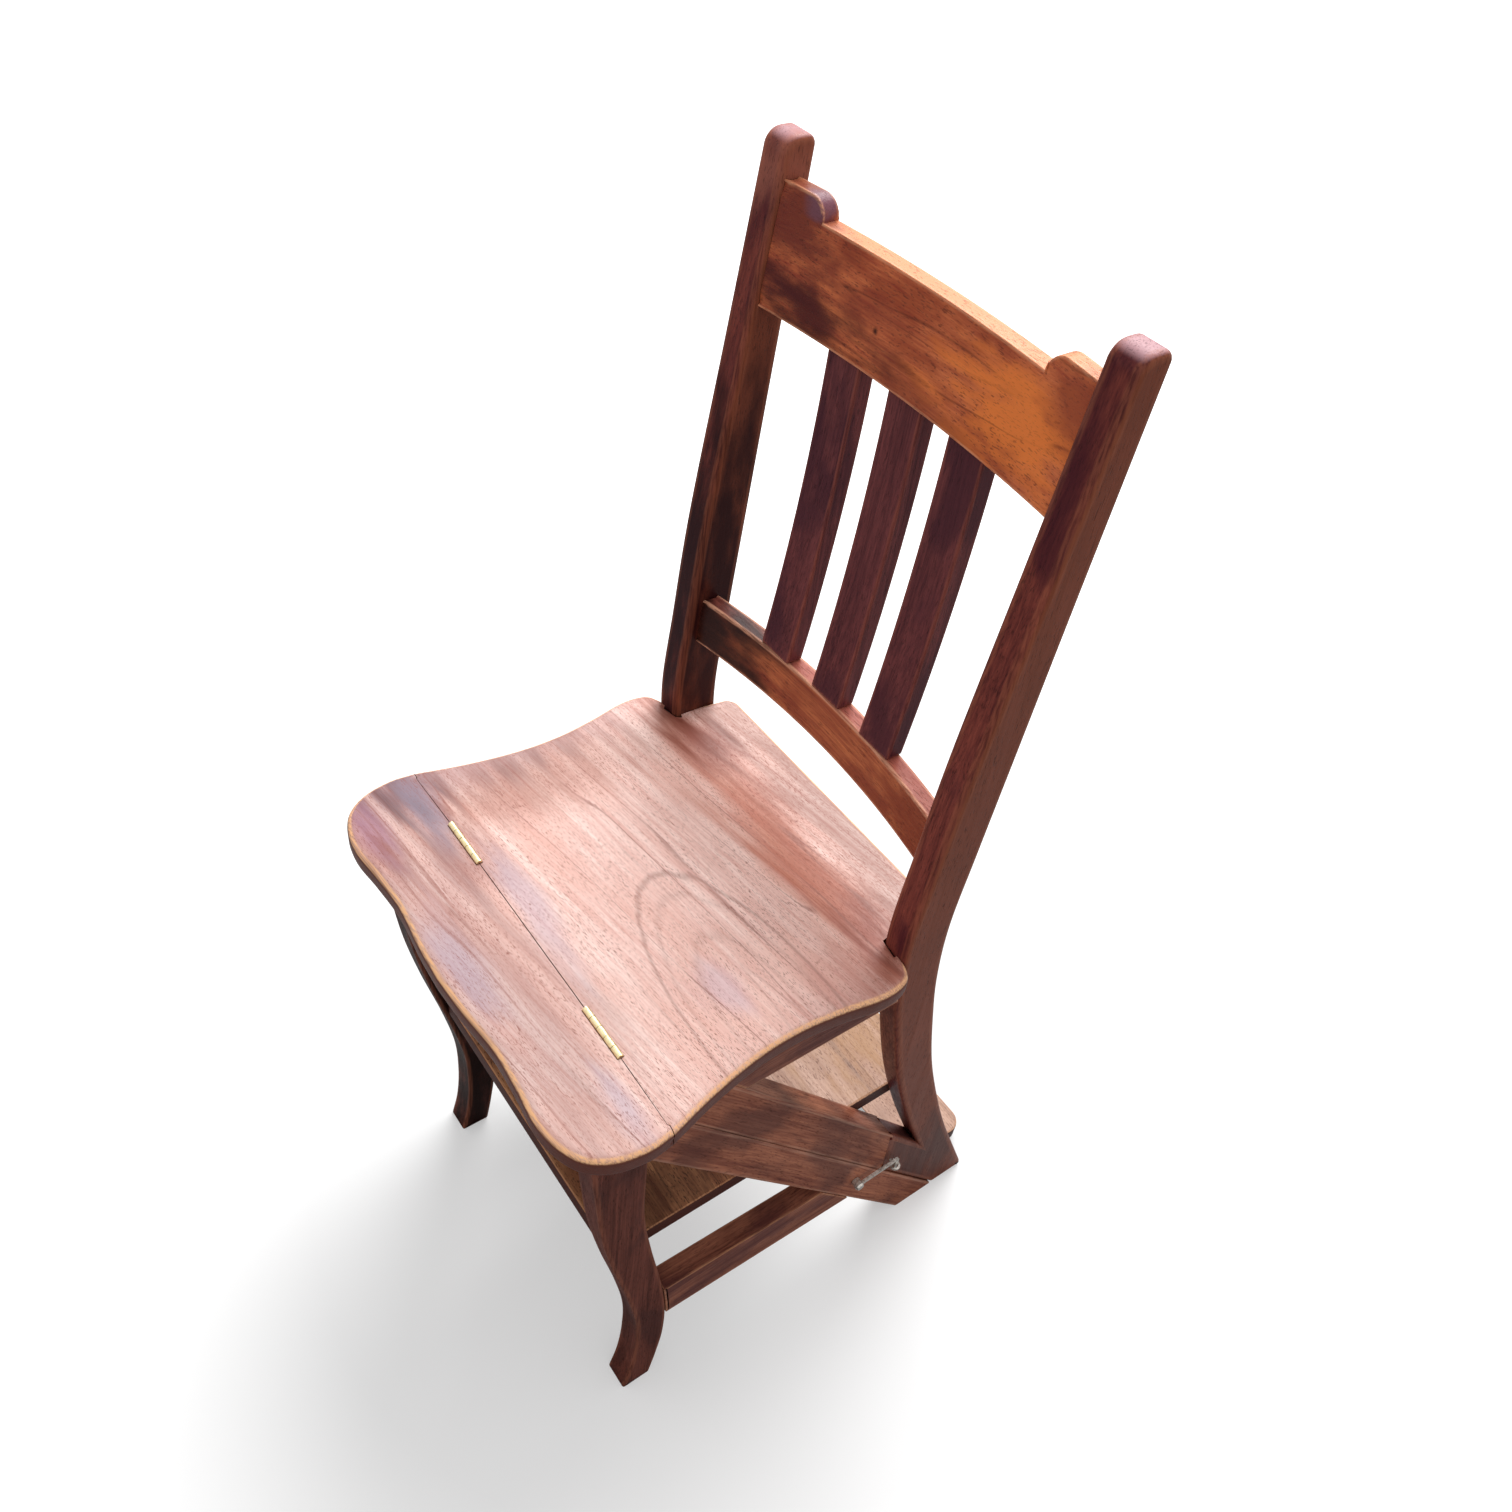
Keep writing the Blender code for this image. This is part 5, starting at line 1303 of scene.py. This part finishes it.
@dataclass
class RearSides(SubAssembly):
    """Stiles, moving diagonals and the rails under the seat panel."""
    front_round: float = 12.0
    front_steps: int = 10
    rear_round: float = 7.0
    rear_steps: int = 8
    heel_round: float = 4.0
    crotch_length: float = 32.0
    stile_round: float = 5.0
    rail_round: float = 1.4
    seat_rail_round: float = 1.0
    segments: int = 5
    wear_margin: float = 2.5
    straight: float = 0.5

    def build(self) -> None:
        """Makes and dresses the pieces of both sides."""
        self.side_frames((
            SideBoard("sawn_stile", self.stile(), "stile", UPRIGHT, self.stile_round),
            SideBoard("moving_diagonal", self.diagonal(), "upper_side_rail", DIAGONAL, self.rail_round),
            SideBoard("panel_rail", self.seat_rail(), "seat_side_rail", STRETCHER, self.seat_rail_round),
        ), REAR, self.segments, self.wear_margin, self.is_long)

    def is_long(self, edge: bmesh.types.BMEdge) -> bool:
        """Tells which edges are rounded.

        Args:
            edge: The edge.

        Returns:
            Whether it is an arris along a board, away from the shoulder of diagonal and stile.
        """
        start, end = self.bench.ends(edge)
        at_shoulder = all(abs(y - SIZES.shoulder) < self.straight for _, y, _ in (start, end))
        return is_arris(edge) and abs(start[0] - end[0]) < self.straight and not at_shoulder

    def stile(self) -> Line:
        """Draws a stile, from its heel up the rear edge and down the front.

        Returns:
            Its outline.
        """
        gap, depth, heel = SIZES.split_gap / 2, SIZES.upper_rail_depth, self.heel_round
        rear_end, front_end = SIZES.back_height - self.rear_round, SIZES.back_height - self.front_round
        rear_middle = (at_height(STILE_REAR, rear_end) - self.rear_round, rear_end)
        front_middle = (at_height(STILE_FRONT, front_end) + self.front_round, front_end)
        rear_line = [point for point in between_heights(STILE_REAR, heel, rear_end)[1:-1]
                     if point[1] > 2 * heel]
        crotch = self.crossing(STILE_FRONT[::-1], depth)
        front_line = [point for point in between_heights(STILE_FRONT, crotch[1], front_end)[1:-1]
                      if point[1] - crotch[1] >= self.crotch_length]
        shoulder = SIZES.shoulder + SIZES.fit
        return [
            (SIZES.stile_reach - heel, 0.0), (at_height(STILE_REAR, heel), heel), *rear_line,
            *arc(rear_middle, self.rear_round, 0, 90, self.rear_steps),
            *arc(front_middle, self.front_round, 90, 180, self.front_steps), *reversed(front_line),
            (at_height(STILE_FRONT, crotch[1]), crotch[1]), (shoulder, SIZES.split_z(shoulder, depth)),
            (shoulder, SIZES.split_z(shoulder, gap)), (SIZES.split_y(0, gap), 0.0),
        ]

    def crossing(self, line: Line, offset: float) -> Point:
        """Finds where a (y, z) line reaches the line beside the split.

        Args:
            line: The line, from the top down.
            offset: How far the other line lies from the split.

        Returns:
            The place, or the line's end.
        """
        for upper, lower in zip(line, line[1:]):
            above = upper[0] - SIZES.split_y(upper[1], offset)
            below = lower[0] - SIZES.split_y(lower[1], offset)
            if above > 0 >= below or above < 0 <= below:
                t = above / (above - below)
                return upper[0] + (lower[0] - upper[0]) * t, upper[1] + (lower[1] - upper[1]) * t
        return line[-1]

    def diagonal(self) -> Line:
        """Draws the moving diagonal.

        Returns:
            Its outline.
        """
        gap, depth, top = SIZES.split_gap / 2, SIZES.upper_rail_depth, SIZES.underside - SIZES.fit
        return [(SIZES.split_y(top, gap), top), (SIZES.split_y(top, depth), top),
                (SIZES.shoulder, SIZES.split_z(SIZES.shoulder, depth)),
                (SIZES.shoulder, SIZES.split_z(SIZES.shoulder, gap))]

    def seat_rail(self) -> Line:
        """Draws the short rail under the seat panel.

        Returns:
            Its outline.
        """
        top, bottom = SIZES.underside - SIZES.fit, SIZES.underside - SIZES.seat_rail_depth
        rear = between_heights(shifted(STILE_FRONT, -SIZES.fit), bottom, top)
        offset = SIZES.upper_rail_depth + SIZES.fit
        return [*rear, (SIZES.split_y(top, offset), top), (SIZES.split_y(bottom, offset), bottom)]


@dataclass
class Treads(SubAssembly):
    """The fixed lower tread and the two treads of the rear frame."""
    thickness: float = 17.0
    lower_top: float = 216.0
    nose: float = 8.0
    middle_reach: float = 305.0
    top_reach: float = 409.0
    top_lift: float = 4.0
    corner: float = 16.0
    corner_steps: int = 12
    overrun: float = 20.0
    arris_round: float = 2.0
    segments: int = 4
    wear_margin: float = 3.0

    def build(self) -> None:
        """Makes and dresses the three treads, each sawn too long and cut along the split."""
        gap, half, radius = SIZES.split_gap / 2, SIZES.side_inner - SIZES.fit, self.corner
        bottom, top_top = self.lower_top - self.thickness, self.top_lift + self.thickness
        for name, body, low, front, rear in (
                ("lower", FRONT, bottom, -self.nose, SIZES.split_y(bottom) + self.overrun),
                ("middle", REAR, bottom, SIZES.split_y(self.lower_top) - self.overrun, self.middle_reach),
                ("top", REAR, self.top_lift, SIZES.split_y(top_top) - self.overrun, self.top_reach)):
            fixed = body == FRONT
            turn = arc((half - radius, rear - radius), radius, 0, 90, self.corner_steps)[::-1]
            outline = both_sides([(0.0, rear), *([(half, rear)] if fixed else turn), (half, front)])
            piece = self.bench.board(f"{name}_step", outline, Flat.TOP, low, low + self.thickness)
            self.bench.split_plane(piece, -gap if fixed else gap, not fixed)
            ease(piece, self.arris_round, self.segments, self.wear_margin)
            self.finishes.fit(piece, f"{name}_tread", body, SHADE_PAINTED_TREAD if fixed else TREAD)


@dataclass
class ChairBack(SubAssembly):
    """The crest rail, the lower back rail and the slats between them."""
    crest_top: float = 876.0
    crest_middle: float = 863.0
    crest_bottom: float = 796.0
    crest_thin: float = 12.0
    crest_thick: float = 18.0
    crest_step: float = 96.0
    crest_setback: float = 3.5
    crest_bow: float = 9.5
    crest_round: float = 1.5
    crest_columns: int = 28
    crest_rows: int = 8
    ear_columns: int = 6
    ear_steps: int = 10
    low_top: float = 563.0
    low_depth: float = 39.0
    low_thickness: float = 14.5
    low_setback: float = 10.0
    low_bow: float = 13.5
    low_columns: int = 48
    low_rows: int = 4
    slat_width: float = 31.0
    slat_thickness: float = 14.0
    slat_setback: float = 4.0
    slat_bow: float = 4.0
    slat_spacing: float = 57.0
    slat_steps: int = 32
    arris_round: float = 1.2
    segments: int = 3
    wear_margin: float = 2.0
    joint: float = 1.0

    def build(self) -> None:
        """Makes and dresses the pieces of the back."""
        bench = self.bench
        crest = bench.bowed_board("crest_board", self.crest_stations(), self.crest_rows, self.crest_face,
                                  self.crest_thickness)
        end = SIZES.side_inner - SIZES.fit
        places = [end * (2 * i / self.low_columns - 1) for i in range(self.low_columns + 1)]
        stations = [(x, self.low_top - self.low_depth, self.low_top) for x in places]
        low = bench.bowed_board("low_back_board", stations, self.low_rows, self.low_face,
                                lambda z: self.low_thickness)
        made = [(crest, "crest_rail", CREST, self.crest_round),
                (low, "lower_back_rail", LOW_RAIL, self.arris_round)]
        for name, x in (("left", self.slat_spacing), ("middle", 0.0), ("right", -self.slat_spacing)):
            slat = bench.board(f"upright_slat_{name}", self.slat(x), Flat.SIDE,
                               x - self.slat_width / 2, x + self.slat_width / 2)
            made.append((slat, f"back_slat_{name}", SLAT, self.arris_round))
        for piece, node, finish, radius in made:
            ease(piece, radius, self.segments, self.wear_margin, self.is_free)
            self.finishes.fit(piece, node, REAR, finish)

    def is_free(self, edge: bmesh.types.BMEdge) -> bool:
        """Whether an edge is an arris away from a rail's tight joint to a stile."""
        near = SIZES.side_inner - self.joint
        return is_arris(edge) and not all(abs(x) > near for x, _, _ in self.bench.ends(edge))

    def bowed(self, x: float, depth: float) -> float:
        """How far a back rail has bowed rearwards at an x."""
        return depth * (1 - (x / SIZES.side_inner) ** 2)

    def crest_face(self, x: float, z: float) -> float:
        """The y of the crest rail's front face."""
        return at_height(STILE_FRONT, z) + self.crest_setback + self.bowed(x, self.crest_bow)

    def crest_thickness(self, z: float) -> float:
        """The crest rail's thickness, which grows downwards."""
        share = (z - self.crest_bottom) / (self.crest_top - self.crest_bottom)
        return self.crest_thick + share * (self.crest_thin - self.crest_thick)

    def low_face(self, x: float, z: float) -> float:
        """The y of the lower back rail's front face."""
        return at_height(STILE_FRONT, z) + self.low_setback + self.bowed(x, self.low_bow)

    def crest_stations(self) -> list[Place]:
        """Lays out the crest rail's columns, with an ear at each end.

        Returns:
            The x, the bottom and the top of each.
        """
        drop = self.crest_top - self.crest_middle
        shoulder = arc((self.crest_step + drop, self.crest_middle), drop, 180, 90, self.ear_steps)
        count, ears, end = self.crest_columns, self.ear_columns, SIZES.side_inner - SIZES.fit
        half = [(self.crest_step * i / count, self.crest_middle) for i in range(count)] + shoulder
        start = shoulder[-1][0]
        half += [(start + (end - start) * i / ears, self.crest_top) for i in range(1, ears + 1)]
        return [(x, self.crest_bottom, z) for x, z in both_sides(half)]

    def slat(self, x: float) -> Line:
        """Draws a slat from the side, bowed back between the rails.

        Args:
            x: The x of its middle.

        Returns:
            Its outline.
        """
        half, steps = self.slat_thickness / 2, self.slat_steps
        y0, z0 = self.low_face(x, self.low_top) + half, self.low_top
        y1, z1 = self.crest_face(x, self.crest_bottom) + self.slat_setback + half, self.crest_bottom
        low, high = z0 + SIZES.fit, z1 - SIZES.fit
        front, rear = [], []
        for i in range(steps + 1):
            share = i / steps
            z = low + share * (high - low)
            y = y0 + (y1 - y0) * (z - z0) / (z1 - z0) + 4 * self.slat_bow * share * (1 - share)
            front.append((y - half, z))
            rear.append((y + half, z))
        return front + rear[::-1]


@dataclass
class Hardware(SubAssembly):
    """Hinges, screws and the latch."""

    def build(self) -> None:
        """Dresses the metal nodes of the frame."""
        for name in self.finishes.nodes:
            if name.startswith("hinge"):
                self.finishes.dress_node(name, BRASS)
            elif name.startswith(("latch", "seat_screw")):
                self.finishes.dress_node(name, STEEL)
        LOG.info("dressed the hardware")


@dataclass
class Studio:
    """Floor, light and camera, in metres and radians of the frame."""
    sky: float = 0.66
    lamp_power: float = 114.0
    lamp_size: float = 2.4
    lamp_place: Place = (-1.0, 1.6, 2.9)
    lamp_aim: Place = (0.0, 0.0, 0.3)
    floor_size: float = 12.0
    floor_seen: float = 0.56
    floor_unseen: float = 0.35
    floor_glow: tuple = (0.35, 1.1, 0.38, 0.9)
    camera_place: Place = (0.5142, -0.4492, 1.1977)
    camera_turn: Place = (0.798, -0.107, 0.944)
    camera_lens: float = 32.33
    camera_sensor: float = 36.0
    camera_nearest: float = 0.05

    def build(self) -> None:
        """Sets up the floor, the light and the camera."""
        self.floor()
        self.light()
        self.camera()

    def floor(self) -> None:
        """Lays the pale floor, which glows more strongly the farther it is from the chair."""
        bpy.ops.mesh.primitive_plane_add(size=self.floor_size)
        floor = named("floor")
        material = bpy.data.materials.new("pale_floor")
        sheet = NodeSheet(material)
        plain, shade = (sheet.add("BsdfDiffuse", {"Color": (grey, grey, grey, 1.0)}).outputs[0]
                        for grey in (self.floor_unseen, self.floor_seen))
        apart = sheet.vector("LENGTH", sheet.add("TexCoord").outputs["Object"], output=1)
        lift = sheet.add("MapRange", dict(enumerate((apart, *self.floor_glow)))).outputs[0]
        glow = sheet.add("Emission", {"Color": WHITE, "Strength": lift}).outputs[0]
        bright = sheet.add("AddShader", {0: shade, 1: glow}).outputs[0]
        seen = sheet.add("LightPath").outputs["Is Camera Ray"]
        mixed = sheet.add("MixShader", {0: seen, 1: plain, 2: bright}).outputs[0]
        sheet.add("OutputMaterial", {"Surface": mixed})
        floor.data.materials.append(material)

    def light(self) -> None:
        """Hangs one broad soft lamp behind the chair's left shoulder, in an even white sky."""
        world = bpy.data.worlds.new("even_sky")
        bpy.context.scene.world = world
        sheet = NodeSheet(world)
        path = sheet.add("LightPath").outputs
        seen = sheet.math("MAXIMUM", path["Is Camera Ray"], path["Is Glossy Ray"])
        strength = sheet.add("MapRange", {"Value": seen, "To Min": self.sky, "To Max": 1.0}).outputs[0]
        sky = sheet.add("Background", {"Color": WHITE, "Strength": strength}).outputs[0]
        sheet.add("OutputWorld", {"Surface": sky})
        bpy.ops.object.light_add(type="AREA", location=self.lamp_place)
        lamp = named("broad_lamp")
        lamp.data.shape = "DISK"
        lamp.data.size = self.lamp_size
        lamp.data.energy = self.lamp_power
        aim = Vector(self.lamp_aim) - lamp.location
        lamp.rotation_euler = aim.to_track_quat("-Z", "Y").to_euler()

    def camera(self) -> None:
        """Places the camera at the photograph's viewpoint."""
        data = bpy.data.cameras.new("camera")
        data.sensor_width, data.lens = self.camera_sensor, self.camera_lens
        data.clip_start = self.camera_nearest
        camera = bpy.data.objects.new("camera", data)
        bpy.context.scene.collection.objects.link(camera)
        camera.location = self.camera_place
        camera.rotation_euler = self.camera_turn
        bpy.context.scene.camera = camera
        bpy.context.scene.view_settings.view_transform = "Standard"


def main() -> None:
    """Builds the dressed chair, one sub-assembly after another."""
    logging.basicConfig(level=logging.INFO, format="%(message)s")
    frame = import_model()
    bench = Bench()
    finishes = Finishes(bench, dict(frame["nodes"]))
    for assembly in (SeatBoards, FrontSides, RearSides, Treads, ChairBack, Hardware):
        assembly(bench, finishes).build()
    Studio().build()


if __name__ == "__main__":
    main()
